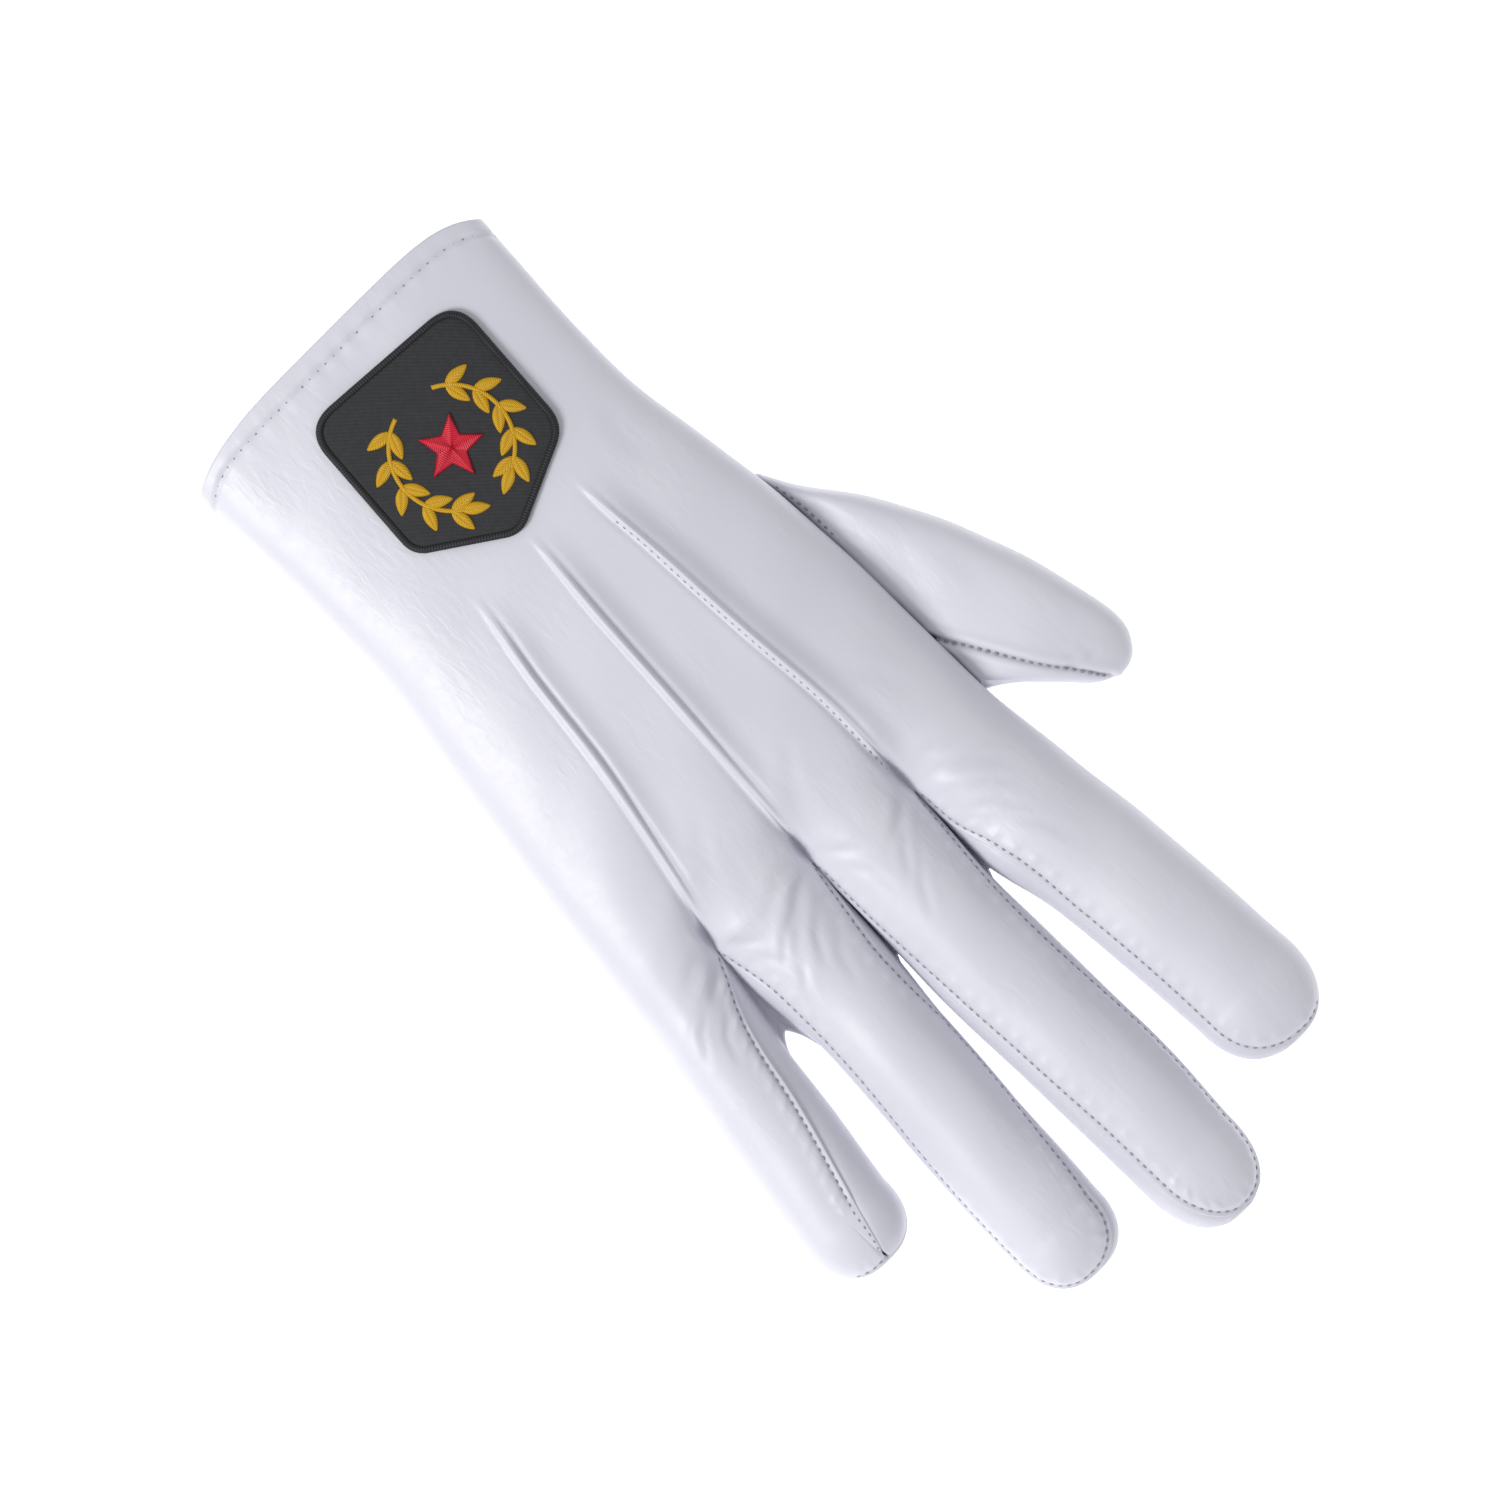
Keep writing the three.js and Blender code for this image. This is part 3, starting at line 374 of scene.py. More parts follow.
def hand_point(finger, side, share, angle, seam, kind):
    """The hand behind one side of a finger: share 0 is the cuff's edge and 1 the finger's root.
    Its lines of equal angle run from the cuff into the finger."""
    root = finger_point(finger, side, np.zeros_like(angle), angle, seam, kind)
    fork = finger["fork"][side]
    root_x, end_y = root[..., 0], root[..., 1]
    y = mix(cuff_edge(sideways(root_x, end_y)), end_y, share)

    def bound(which, at, part):
        other = finger["fork"][which]
        if other is None:
            return curve(SIDES[which], at)
        drift = other[kind][0] - point_x(other["which"], other[kind][1])
        return point_x(other["which"], at) + drift * part**2

    ratio = np.sin(angle) / np.sin(seam) if fork else np.sin(angle)

    def plain(at, part):
        one, two = bound(side, at, part), bound(-side, at, part)
        return mix((one + two) / 2, one, ratio)

    x = plain(y, share) + (root_x - plain(end_y, 1.0)) * share**4
    left_over = end_y - y
    blend = 0.5 * smooth(1 - left_over / KNUCKLE_FADE) + 0.5 * smooth(1 - left_over / CROTCH_FADE)
    z = mix(hand_z(x, y, angle <= math.pi / 2), root[..., 2], blend)
    return np.stack([x, y, z], -1)


print("crown of the hand", float(hand_z(0, 0, True)), "mm")

# %% [markdown]
# Leather is a wall with a cut edge, not a bare surface. Blender's Solidify could give it that, but
# its rim is square. Here the grids are joined where they meet, the surface is lifted and dented
# along its own normals, and an inner face and a rounded lip are added round every open edge.

# %% From grids to closed leather
CUT_BULGE = 0.3                         # mm; how far the leather's cut edge bulges


def grid_faces(rows, columns, start):
    """Quads between neighbouring points of a grid that is stored row by row."""
    at = start + np.arange(rows * columns).reshape(rows, columns)
    return np.stack([at[:-1, :-1], at[:-1, 1:], at[1:, 1:], at[1:, :-1]], -1).reshape(-1, 4)


def normals_of(points, faces):
    """Each point's normal: the sum of its triangles' normals by area, at length 1."""
    a, b, c = points[faces].transpose(1, 0, 2)
    flat = np.cross(b - a, c - a)
    total = np.zeros_like(points)
    for corner in faces.T:
        np.add.at(total, corner, flat)
    return unit(total)


def evened(normal, faces):
    """Normals averaged with their neighbours', so that the two sides of a narrow valley lift side
    by side and don't cross."""
    edges = np.concatenate([faces[:, [0, 1]], faces[:, [1, 2]], faces[:, [2, 0]]])
    for _ in range(16):
        total = normal.copy()
        for a, b in (edges.T, edges.T[::-1]):
            np.add.at(total, a, 0.5 * normal[b])
        normal = unit(total)
    return normal


def patch(points, facing, lift=0.0, tint=0.0):
    """A grid of points in mm, with how far each is lifted off the plain form and how much it is
    greyed as painted shade; the badge's grids carry their thread value in that place instead.
    facing is a direction that its outside looks towards."""
    across, along = points[:-1, 1:] - points[:-1, :-1], points[1:, :-1] - points[:-1, :-1]
    mean = np.cross(across, along).reshape(-1, 3).sum(0)
    lift, tint = (np.broadcast_to(value, points.shape[:2]) for value in (lift, tint))
    if mean @ np.asarray(facing, float) < 0:
        return points[:, ::-1], lift[:, ::-1], tint[:, ::-1]
    return points, lift, tint


def joined(patches, weld=0.02):
    """One surface from patches: points closer than the weld are made one, in triangles."""
    points = np.concatenate([p.reshape(-1, 3) for p, _, _ in patches])
    values = np.concatenate([np.stack([l.ravel(), t.ravel()], 1) for _, l, t in patches])
    starts = np.cumsum([0] + [p.shape[0] * p.shape[1] for p, _, _ in patches])
    faces = np.concatenate([grid_faces(*p.shape[:2], s) for (p, _, _), s in zip(patches, starts)])
    mesh = bpy.data.meshes.new("joined")
    mesh.from_pydata(points.tolist(), [], faces.tolist())
    for name, column in zip(("lift", "tint"), values.T):
        mesh.attributes.new(name, "FLOAT", "POINT").data.foreach_set("value", column.copy())
    work = bmesh.new()
    work.from_mesh(mesh)
    bmesh.ops.remove_doubles(work, verts=work.verts, dist=weld)
    bmesh.ops.triangulate(work, faces=work.faces)
    work.to_mesh(mesh)
    work.free()
    count = len(mesh.vertices)
    points, lift, tint = np.empty(count * 3), np.empty(count), np.empty(count)
    mesh.vertices.foreach_get("co", points)
    mesh.attributes["lift"].data.foreach_get("value", lift)
    mesh.attributes["tint"].data.foreach_get("value", tint)
    corners = np.empty(len(mesh.polygons) * 3, int)
    mesh.polygons.foreach_get("vertices", corners)
    bpy.data.meshes.remove(mesh)
    return points.reshape(-1, 3), corners.reshape(-1, 3), lift, tint


def open_edges(faces, count):
    """Directed edges of triangles that no other triangle runs back along."""
    edges = np.concatenate([faces[:, [0, 1]], faces[:, [1, 2]], faces[:, [2, 0]]])
    return edges[~np.isin(edges[:, 0] * count + edges[:, 1], edges[:, 1] * count + edges[:, 0])]


def walled(points, faces, thick):
    """A closed wall: the outer face, an inner one moved in by thick, and a lip of three rows that
    bulges out of the open edge by the sine of the way across."""
    count = len(points)
    normal = normals_of(points, faces)
    inner = points - normal * np.broadcast_to(thick, count)[:, None]
    rim = open_edges(faces, count)
    edge, place = np.unique(rim, return_inverse=True)
    place = place.reshape(rim.shape)
    run = points[rim[:, 1]] - points[rim[:, 0]]
    away = np.zeros((len(edge), 3))
    for end in (0, 1):
        np.add.at(away, place[:, end], np.cross(run, normal[rim[:, end]]))
    rows = [mix(points[edge], inner[edge], t) + unit(away) * CUT_BULGE * math.sin(math.pi * t)
            for t in (0.2, 0.5, 0.8)]
    first, last = rim, rim + count
    rings = [first] + [2 * count + k * len(edge) + place for k in range(3)] + [last]
    strips = []
    for a, b in zip(rings[:-1], rings[1:]):
        strips += [np.stack(corners, 1) for corners in ((a[:, 1], a[:, 0], b[:, 0]),
                                                        (a[:, 1], b[:, 0], b[:, 1]))]
    whole = np.concatenate([points, inner] + rows)
    return whole, np.concatenate([faces, faces[:, ::-1] + count] + strips), edge


def placed(name, data):
    """A new object of the scene."""
    thing = bpy.data.objects.new(name, data)
    bpy.context.scene.collection.objects.link(thing)
    return thing


def piece(name, points, faces, material, slot, nodes=(), **values):
    """A smooth-shaded object at the origin from points in mm, riding on the glove, with values
    stored on its points by name."""
    mesh = bpy.data.meshes.new(name)
    mesh.vertices.add(len(points))
    mesh.vertices.foreach_set("co", (np.asarray(points) * MM).ravel())
    mesh.loops.add(faces.size)
    mesh.loops.foreach_set("vertex_index", faces.astype(np.int32).ravel())
    mesh.polygons.add(len(faces))
    starts = np.arange(0, faces.size, faces.shape[1], dtype=np.int32)
    mesh.polygons.foreach_set("loop_start", starts)
    mesh.polygons.foreach_set("use_smooth", np.ones(len(faces), bool))
    for key, value in values.items():
        mesh.attributes.new(key, "FLOAT", "POINT").data.foreach_set("value", value)
    mesh.update(calc_edges=True)
    mesh.validate()
    mesh.materials.append(material)
    thing = placed(name, mesh)
    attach(thing, "root")
    if nodes:
        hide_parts(*nodes)
    print(name, len(faces), "faces")


def leather_piece(name, patches, hem=False):
    """One piece of the glove: joined patches, lifted along their normals, and walled. The wall is
    twice as thick where the cuff's edge is turned in. Nothing sinks into the table."""
    points, faces, lift, tint = joined(patches)
    points = points + evened(normals_of(points, faces), faces) * lift[:, None]
    turned_in = smooth((CUFF_Y + HEM_DEPTH + 0.6 - points[:, 1]) / 1.2) if hem else 0
    whole, every, edge = walled(points, faces, LEATHER * (1 + turned_in))
    whole[:, 2] = np.maximum(whole[:, 2], 0.0)
    tints = np.concatenate([tint, tint] + [tint[edge]] * 3)
    piece(name, whole, every, LAMBSKIN, "leather", (name,), tint=tints)


# %% [markdown]
# White glove leather is a fine, even lambskin: a chalk-white finish over a pore pattern well under
# a millimetre, with a soft sheen and, in patches, fine crinkles. Its colour is nearly all that
# shows
# of it, so the shader keeps it plain: a bluish white, a fine grain and the crinkles in the normals,
# a slightly uneven gloss under a thin coat, and painted shade: a greyer tone in the grooves of the
# seams and the hem, in the creases, along the raised points and over the fourchettes. That painted
# shade comes from a value stored on each point, which follows the surface.

# %% Materials: helpers
def linear(hex_colour):
    """sRGB hex to linear red, green, blue and alpha 1."""
    parts = [int(hex_colour[i:i + 2], 16) / 255 for i in (1, 3, 5)]
    return [p / 12.92 if p <= 0.04045 else ((p + 0.055) / 1.055)**2.4 for p in parts] + [1.0]


def node(tree, kind, links=None, values=None, out=None, **settings):
    """Adds a node: settings are its properties, values and links its inputs by name or number."""
    made = tree.nodes.new("ShaderNode" + kind)
    for key, value in settings.items():
        setattr(made, key, value)
    for key, value in (values or {}).items():
        made.inputs[key].default_value = value
    for key, source in (links or {}).items():
        tree.links.new(source, made.inputs[key])
    return made if out is None else made.outputs[out]


def empty_material(name):
    """A material with no nodes yet, and its tree."""
    made = bpy.data.materials.new(name)
    made.use_nodes = True
    made.node_tree.nodes.clear()
    return made, made.node_tree


def noise(tree, size, place, **values):
    """Noise whose features have a size in mm, from 0 to 1."""
    return node(tree, "TexNoise", {"Vector": place}, {"Scale": 1 / (size * MM), **values},
                out="Fac")


def bump(tree, height, strength, depth, **under):
    """Normals dented by a height from 0 to 1 that stands for a depth in mm."""
    return node(tree, "Bump", {"Height": height, **under},
                {"Strength": strength, "Distance": depth * MM}, out="Normal")


def between(tree, share, *colours):
    """A share of the way from one colour to another, each in hex or another node's output."""
    pair = dict(zip((6, 7), colours))
    links = {key: colour for key, colour in pair.items() if not isinstance(colour, str)}
    fixed = {key: linear(colour) for key, colour in pair.items() if isinstance(colour, str)}
    return node(tree, "Mix", {0: share, **links}, fixed, out=2, data_type="RGBA")


def surface(tree, colour, roughness, normal=None, **values):
    """The shader at the end of a material, with plain values set on its own sockets."""
    links = {"Normal": normal} if normal else {}
    fixed = {key.replace("_", " "): value for key, value in values.items()}
    for key, given in (("Base Color", colour), ("Roughness", roughness)):
        if isinstance(given, bpy.types.NodeSocket):
            links[key] = given
        else:
            fixed[key] = given
    shader = node(tree, "BsdfPrincipled", links, fixed, out="BSDF")
    node(tree, "OutputMaterial", {"Surface": shader})


# %% Material: white lambskin
# sizes in mm; real pores are 0.3 mm, drawn coarser so they show, and the crinkles lie in patches
PORE, GRAIN, CLOUD, CRINKLE, PATCH = 0.9, 2.4, 34.0, 1.8, 24.0


def white_lambskin():
    """Chrome-tanned lambskin with a pigmented finish: smooth, softly glossy, finely pored."""
    made, tree = empty_material("white_lambskin")
    place = node(tree, "TexCoord", out="Object")
    pores = node(tree, "TexVoronoi", {"Vector": place}, {"Scale": 1 / (PORE * MM)},
                 out="Distance", feature="DISTANCE_TO_EDGE")
    grain = noise(tree, GRAIN, place, Detail=6.0, Roughness=0.6)
    drawn = node(tree, "Mapping", {"Vector": place},
                 {"Rotation": (0, 0, math.radians(24)), "Scale": (1.0, 0.3, 1.0)}, out="Vector")
    crinkle = noise(tree, CRINKLE, drawn, Detail=2.0, Distortion=0.6)
    strong = node(tree, "MapRange", {"Value": noise(tree, PATCH, place)},
                  {"From Min": 0.42, "From Max": 0.62, "To Min": 0.12, "To Max": 1.0}, out="Result")
    crinkled = node(tree, "Math", {0: crinkle, 1: strong}, out=0, operation="MULTIPLY")
    # painted shade: the stored tint greys the leather towards #9C9CA9 in seams, creases, folds and
    # fourchettes
    painted_shade = node(tree, "Attribute", attribute_name="tint", out="Fac")
    cloudy = between(tree, noise(tree, CLOUD, place, Detail=2.0), "#DFDFE9", "#E9E9F1")
    colour = between(tree, painted_shade, cloudy, "#9C9CA9")
    gloss = node(tree, "MapRange", {"Value": grain},
                 {"From Min": 0.3, "From Max": 0.7, "To Min": 0.36, "To Max": 0.46}, out="Result")
    fine = bump(tree, pores, 0.2, 0.05)
    soft = bump(tree, grain, 0.25, 0.16, Normal=fine)
    bumped = bump(tree, crinkled, 0.35, 0.4, Normal=soft)
    surface(tree, colour, gloss, bumped, IOR=1.46, Coat_Weight=0.22, Coat_Roughness=0.38)
    return made


LAMBSKIN = white_lambskin()

# %% [markdown]
# The back of the glove is one piece of leather: four finger strips on one hand. It is drawn as
# sixteen grids, two for each finger and two for the hand behind it. Columns crowd towards the
# seams, where the form turns fastest, and rows crowd towards the crotches.

# %% The back and palm grids
GAP = 0.05 / FINGER_HEIGHT              # the angle left open between two sewn pieces


def spread(count, *shares):
    """Columns from the crest or the palm's middle to the seam, crowded as the given shares are."""
    return np.interp(np.linspace(0, 1, count + 1), np.linspace(0, 1, len(shares)), shares)


# for a seam between two fingers, for the glove's own side, and for the palm
EVEN, SIDE = spread(20, 0, 0.3, 0.6, 0.84, 0.92, 1), spread(20, 0, 0.25, 0.5, 0.7, 0.86, 1)
UNDER = spread(12, 0, 0.5, 0.72, 0.87, 1)


def finger_rows(count, cap):
    """Rows from the root to the cap's start, crowded at the root, and then round the tip."""
    return np.concatenate([np.linspace(0, 1, count)**1.25, 1 + np.linspace(0, 1, cap)[1:]])[:, None]


def angles(finger, side, row, kind):
    """Profile angle of each column, and of the piece's edge, in each row."""
    back, palm = seam_angles(finger, side, row)
    if kind == "palm":
        edge = palm + GAP
        return mix(math.pi, edge, UNDER), edge
    edge = back - GAP
    outer = SIDE * edge
    inner = np.arcsin(np.clip(EVEN * np.sin(np.minimum(edge, math.pi / 2)), 0, 1))
    turned = np.clip(row - 1, 0, 1)
    return mix(outer if finger["fork"][side] is None else inner, outer, turned**2), edge


def finger_grid(finger, side, kind, count, cap):
    """One side of a finger's back or palm, and the row numbers of its grid."""
    row = finger_rows(count, cap)
    angle, edge = angles(finger, side, row, kind)
    return finger_point(finger, side, row, angle, edge, kind), row


def hand_grid(finger, side, kind, share):
    """The strip of the hand behind one side of a finger."""
    angle, edge = angles(finger, side, np.zeros((1, 1)), kind)
    return hand_point(finger, side, share[:, None], angle, edge, kind)


# %% [markdown]
# Where two pieces are sewn, the leather's edge stands up, the thread pulls a groove beside it, and
# the skin puffs up again behind the groove, unevenly, because each stitch holds it at one spot.

# %% Relief along a seam
# in mm: the stitches' spacing, their distance from a seam and from a raised point's line, and the
# heights and depths beside a seam and in the hem
STITCH_PITCH, STITCH_INSET, POINT_STITCH = 1.8, 1.1, 1.5
SEAM_LIP, SEAM_GROOVE, SEAM_PUFF = 0.25, 0.20, 0.22
HEM_RISE, HEM_GROOVE, HEM_PUCKER = 0.22, 0.26, 0.10


def from_edge(points):
    """Distance of each grid point from the last column across, and of each row along it."""
    step = np.linalg.norm(np.diff(points, axis=1), axis=-1)
    across = np.concatenate([np.cumsum(step[:, ::-1], 1)[:, ::-1], np.zeros((len(points), 1))], 1)
    return across, run_along(points[:, -1])[:, None]


def seam_relief(points, weight):
    """Lift beside a seam: an edge raised over 1 mm, a groove at the stitches, and a swelling
    behind it that comes and goes every 4 to 5 mm, with painted shade greying the groove and the
    3 mm next to the edge. It fades out at both ends of the seam."""
    d, run = from_edge(points)
    ends = smooth(run / 4) * smooth((run[-1] - run) / 5)
    uneven = 1 + ends * (0.55 * np.sin(run * 1.45 + 1.7 * np.sin(run / 9))
                         + 0.25 * np.sin(run * 2.6))
    dent = bell(d, STITCH_INSET, 0.42)
    lift = (SEAM_LIP * smooth(1 - d / 0.9) - SEAM_GROOVE * dent
            + SEAM_PUFF * bell(d, 2.9, 1.3) * uneven)
    # painted shade: grey in the stitches' groove and, more faintly, within 3 mm of the edge
    tint = 0.18 * dent + 0.08 * smooth(1 - d / 3)
    return lift * smooth(run / 4) * weight, tint * smooth(run / 2) * weight


# %% [markdown]
# The leather's creases are soft valleys. Each is drawn as a short path of points in the plan, with
# a depth and a width, and dents the surface by a bell curve of the distance from the path. Noise
# would crease anywhere; drawn paths put the creases where the sewing makes them.

# %% Creases
def near(x, y, path):
    """Distance of each place from a path of points, and how far along the nearest spot lies."""
    path = np.asarray(path, float)
    start, step = path[:-1], np.diff(path, axis=0)
    long = np.hypot(*step.T)
    offset_x, offset_y = x[..., None] - start[:, 0], y[..., None] - start[:, 1]
    t = np.clip((offset_x * step[:, 0] + offset_y * step[:, 1]) / long**2, 0, 1)
    gap = np.hypot(offset_x - t * step[:, 0], offset_y - t * step[:, 1])
    best = gap.argmin(-1)[..., None]
    along = (np.concatenate([[0], np.cumsum(long)[:-1]]) + t * long) / long.sum()
    return np.take_along_axis(gap, best, -1)[..., 0], np.take_along_axis(along, best, -1)[..., 0]


def creased(x, y, creases):
    """Sum of the creases: depth times a bell curve across, tapered to nothing at both ends. A
    narrow valley has a soft roll on each side of it, and is greyed as painted shade."""
    lift, tint = np.zeros_like(x), np.zeros_like(x)
    for path, depth, width in creases:
        gap, along = near(x, y, path)
        taper = np.sin(math.pi * np.clip(along, 0.02, 0.98))**0.7
        valley = bell(gap, 0, width)
        lift += depth * taper * (0.35 * bell(gap, 2 * width, width) - valley)
        # painted shade in the valley, a quarter of its depth strong
        tint += 0.25 * depth * taper * valley
    return lift, tint


def wavy(x, y):
    """Slack of an empty glove: a few long crossing waves, a quarter of a millimetre high."""
    return (0.16 * np.sin(x / 6.1 + y / 17 + 0.4) * np.sin(y / 11 - x / 23)
            + 0.12 * np.sin(x / 3.7 - y / 9.5 + 2.0) * np.sin(y / 7.3 + 0.8))


HAND_CREASES = [
    # radiating from the crotch of the index and middle fingers
    ([(-21, 46), (-27, 48), (-34, 52), (-39, 58)], 0.45, 1.5),
    ([(-22, 44), (-29, 44), (-37, 47)], 0.30, 1.3),
    ([(-19, 45), (-15, 49), (-10, 52)], 0.30, 1.2),
    # and from the crotch of the middle and ring fingers
    ([(5, 42), (10, 45), (16, 50), (20, 55)], 0.45, 1.4),
    ([(6, 40), (12, 41), (18, 44)], 0.35, 1.2),
    ([(3, 41), (-1, 45), (-5, 49)], 0.28, 1.2),
    # and from the crotch of the ring and little fingers
    ([(31, 42), (34, 46), (38, 49)], 0.45, 1.1),
    ([(31, 40), (36, 41), (41, 44)], 0.30, 1.1),
    ([(29, 41), (25, 45), (21, 48)], 0.28, 1.1),
    # fine crinkles in front of the crotches and over the knuckles
    ([(-29, 55), (-33, 57), (-37, 62)], 0.28, 0.8), ([(-26, 58), (-31, 61), (-35, 67)], 0.25, 0.8),
    ([(-33, 49), (-37, 51), (-41, 56)], 0.25, 0.8), ([(-30, 65), (-34, 70), (-36, 77)], 0.20, 1.0),
    ([(-14, 51), (-10, 55), (-7, 60)], 0.22, 0.9), ([(-12, 57), (-8, 62), (-5, 68)], 0.20, 0.9),
    ([(10, 50), (14, 54), (17, 60)], 0.26, 0.8), ([(13, 47), (18, 49), (23, 54)], 0.26, 0.8),
    ([(9, 55), (13, 60), (15, 67)], 0.20, 0.9), ([(19, 55), (23, 60), (25, 67)], 0.20, 0.9),
    ([(0, 48), (-3, 53), (-4, 60)], 0.20, 0.9), ([(25, 49), (22, 53), (20, 59)], 0.20, 0.9),
    ([(37, 52), (41, 56), (43, 62)], 0.25, 0.8), ([(40, 49), (44, 52), (47, 57)], 0.22, 0.8),
    ([(-27, 20), (-31, 26), (-34, 33)], 0.18, 1.6), ([(-9, 22), (-5, 28), (-3, 34)], 0.18, 1.6),
    ([(14, 20), (18, 26), (20, 32)], 0.18, 1.6), ([(-31, -52), (-29, -44), (-30, -36)], 0.20, 2.0),
    # pinched tails behind the crotches
    ([(-20.6, 36), (-20.2, 42), (-20.2, 47.2)], 0.9, 1.0),
    ([(3.4, 35), (4.0, 39), (4.2, 42.8)], 0.9, 1.0),
    ([(29.2, 35), (29.8, 39), (30.2, 41.8)], 0.9, 1.0),
]


def hem_relief(x, y):
    """The cuff's turned edge: thick up to its stitches, a groove at them greyed as painted shade,
    and puckers across.
    """
    back = y - cuff_edge(np.minimum(sideways(x, y), 1))
    pucker = np.sin(x / 0.9 + 1.4 * np.sin(x / 5)) * bell(back, HEM_STITCH + 0.1, 2.2)
    groove, rise = bell(back, HEM_STITCH, 0.45), smooth((HEM_STITCH - 0.1 - back) / 1.2)
    # the second value is the painted shade in the stitches' groove
    return HEM_RISE * rise - HEM_GROOVE * groove + HEM_PUCKER * pucker, 0.12 * groove


# widths in mm of the raised points' steep flank and of the near and the broad part of the other,
# place of the fold line, and over what a point rises at its start and runs out at the crotch
STEEP, NEAR, BROAD, FOLD_LINE = 1.0, 1.3, 7.0, -1.5
POINT_RISES, POINT_RUNS_OUT = 0.13, 12.0


def point_relief(x, y):
    """The three raised points: a narrow pleat, steep towards the little finger and gentle towards
    the thumb, with the thread's groove on its steep side and a fold line on the other. Painted
    shade greys the fold line, the groove and a broad band on the gentle flank, which faces away
    from the light."""
    lift, tint = np.zeros_like(x), np.zeros_like(x)
    along = (y - CUFF_Y) / HAND_LENGTH
    for which, (start, high, fold, groove) in enumerate(POINT_FORM):
        left_over = FORKS[which]["back"][1] - y - 2
        there = smooth((along - start) / POINT_RISES) * smooth(left_over / POINT_RUNS_OUT)
        off = x - point_x(which, y)
        gentle = 0.45 * (1 - smooth(-off / NEAR)) + 0.55 * (1 - smooth(-off / BROAD))
        flank = np.where(off > 0, 1 - smooth(off / STEEP), gentle)
        valley, dent = bell(off, FOLD_LINE, 0.55), bell(off, POINT_STITCH, 0.4)
        lift += there * (high * flank - fold * valley - groove * dent)
        # painted shade: a broad grey band on the gentle flank, away from the light
        shade = bell(off, 2 * FOLD_LINE, 2.4)
        tint += there * (0.4 * fold * valley + 0.5 * groove * dent + 0.16 * high * shade)
    return lift, tint


# %% The back
def back_relief(points):
    """All relief, and its painted shade, that depends on the place alone, so that neighbouring
    grids agree.
    """
    x, y = points[..., 0], points[..., 1]
    lifts, tints = zip(creased(x, y, HAND_CREASES), hem_relief(x, y))
    return sum(lifts) + wavy(x, y), sum(tints) + point_relief(x, y)[1]


def raised(points):
    """A grid with the raised points added straight up. Along the normals, the two sides of a
    narrow valley would cross."""
    return points + point_relief(points[..., 0], points[..., 1])[0][..., None] * [0, 0, 1]


def seam_weight(finger, side, row):
    """Strength of a finger's seam in each row. An outer seam shows only round the fingertip, and
    the seam on top of the little finger runs out before it."""
    if (finger["name"], side) == ("little", -1):
        return 1 - smooth((row - TOP_SEAM_END) / (1 - TOP_SEAM_END))
    return 1.0 if finger["fork"][side] else smooth((row - OUTER_SEAM_FROM) / 0.35)


OUTER_SEAM_FROM, TOP_SEAM_END = 1.45, 0.93
HEM_SHARE = 0.045                       # of the hand's rows; 14 of them lie in the hem
HAND_SHARE = np.concatenate([np.linspace(0, HEM_SHARE, 14), np.linspace(HEM_SHARE, 1, 92)[1:]])
back_patches, SEAM_GRIDS, HAND_GRIDS = [], {}, {}
for finger in FINGERS:
    for side in (-1, 1):
        grid = raised(hand_grid(finger, side, "back", HAND_SHARE))
        back_patches.append(patch(grid, (0, 0, 1), *back_relief(grid)))
        HAND_GRIDS[finger["name"], side] = grid
        grid, row = finger_grid(finger, side, "back", 100, 24)
        relief, shade = back_relief(grid)
        # dark is the painted shade beside the finger's seam
        seam, dark = seam_relief(grid, seam_weight(finger, side, row))
        back_patches.append(patch(grid, (0, 0, 1), relief + seam, shade + dark))
        SEAM_GRIDS[finger["name"], side] = grid


leather_piece("back_panel", back_patches, hem=True)

# %% [markdown]
# The palm lies flat on the table and is hardly seen, so its grids are coarser. The thumb's hole is
# left out of the strip on the thumb's side: that strip is three grids, and the middle one ends
# where the hole begins.

# %% The palm
THUMB_START, THUMB_BASE = 0.560, 0.765
THUMB_LENGTH, THUMB_SPAN, THUMB_HEIGHT, THUMB_SIDE_SHARE = 80.5, 29.5, 14.0, 0.42
STRIP = HAND_LENGTH + OUTER_START * KNUCKLE_WIDTH
HOLE = [(THUMB_START * HAND_LENGTH + share * THUMB_LENGTH) / STRIP for share in (0, THUMB_BASE)]
HOLE_COLUMN = 3                         # of the palm's columns, at the hole's lower edge


def palm_patch(grid):
    """A palm grid with the slack of the leather, which is nothing where it lies on the table."""
    x, y, z = np.moveaxis(grid, -1, 0)
    return patch(grid, (0, 0, -1), wavy(x, y) * smooth(z / 4))


palm_patches = []
for finger in FINGERS:
    for side in (-1, 1):
        grid, row = finger_grid(finger, side, "palm", 60, 18)
        palm_patches.append(palm_patch(grid))
        if finger["name"] == "index" and side < 0:
            for low, high, columns in ((0, HOLE[0], None), (*HOLE, HOLE_COLUMN + 1),
                                       (HOLE[1], 1, None)):
                grid = hand_grid(finger, side, "palm", np.linspace(low, high, 36))
                palm_patches.append(palm_patch(grid[:, :columns]))
        else:
            palm_patches.append(palm_patch(hand_grid(finger, side, "palm", np.linspace(0, 1, 70))))
leather_piece("palm_panel", palm_patches, hem=True)

# %% [markdown]
# A fourchette is the strip that makes the side of a finger. It runs up one finger, down to the
# crotch and up the next, so it is two grids that meet along the fold between the crotches.

# %% The fourchettes
WEB_TOP, WEB_BOTTOM, WEB_END = 0.01, 0.04, 1.96


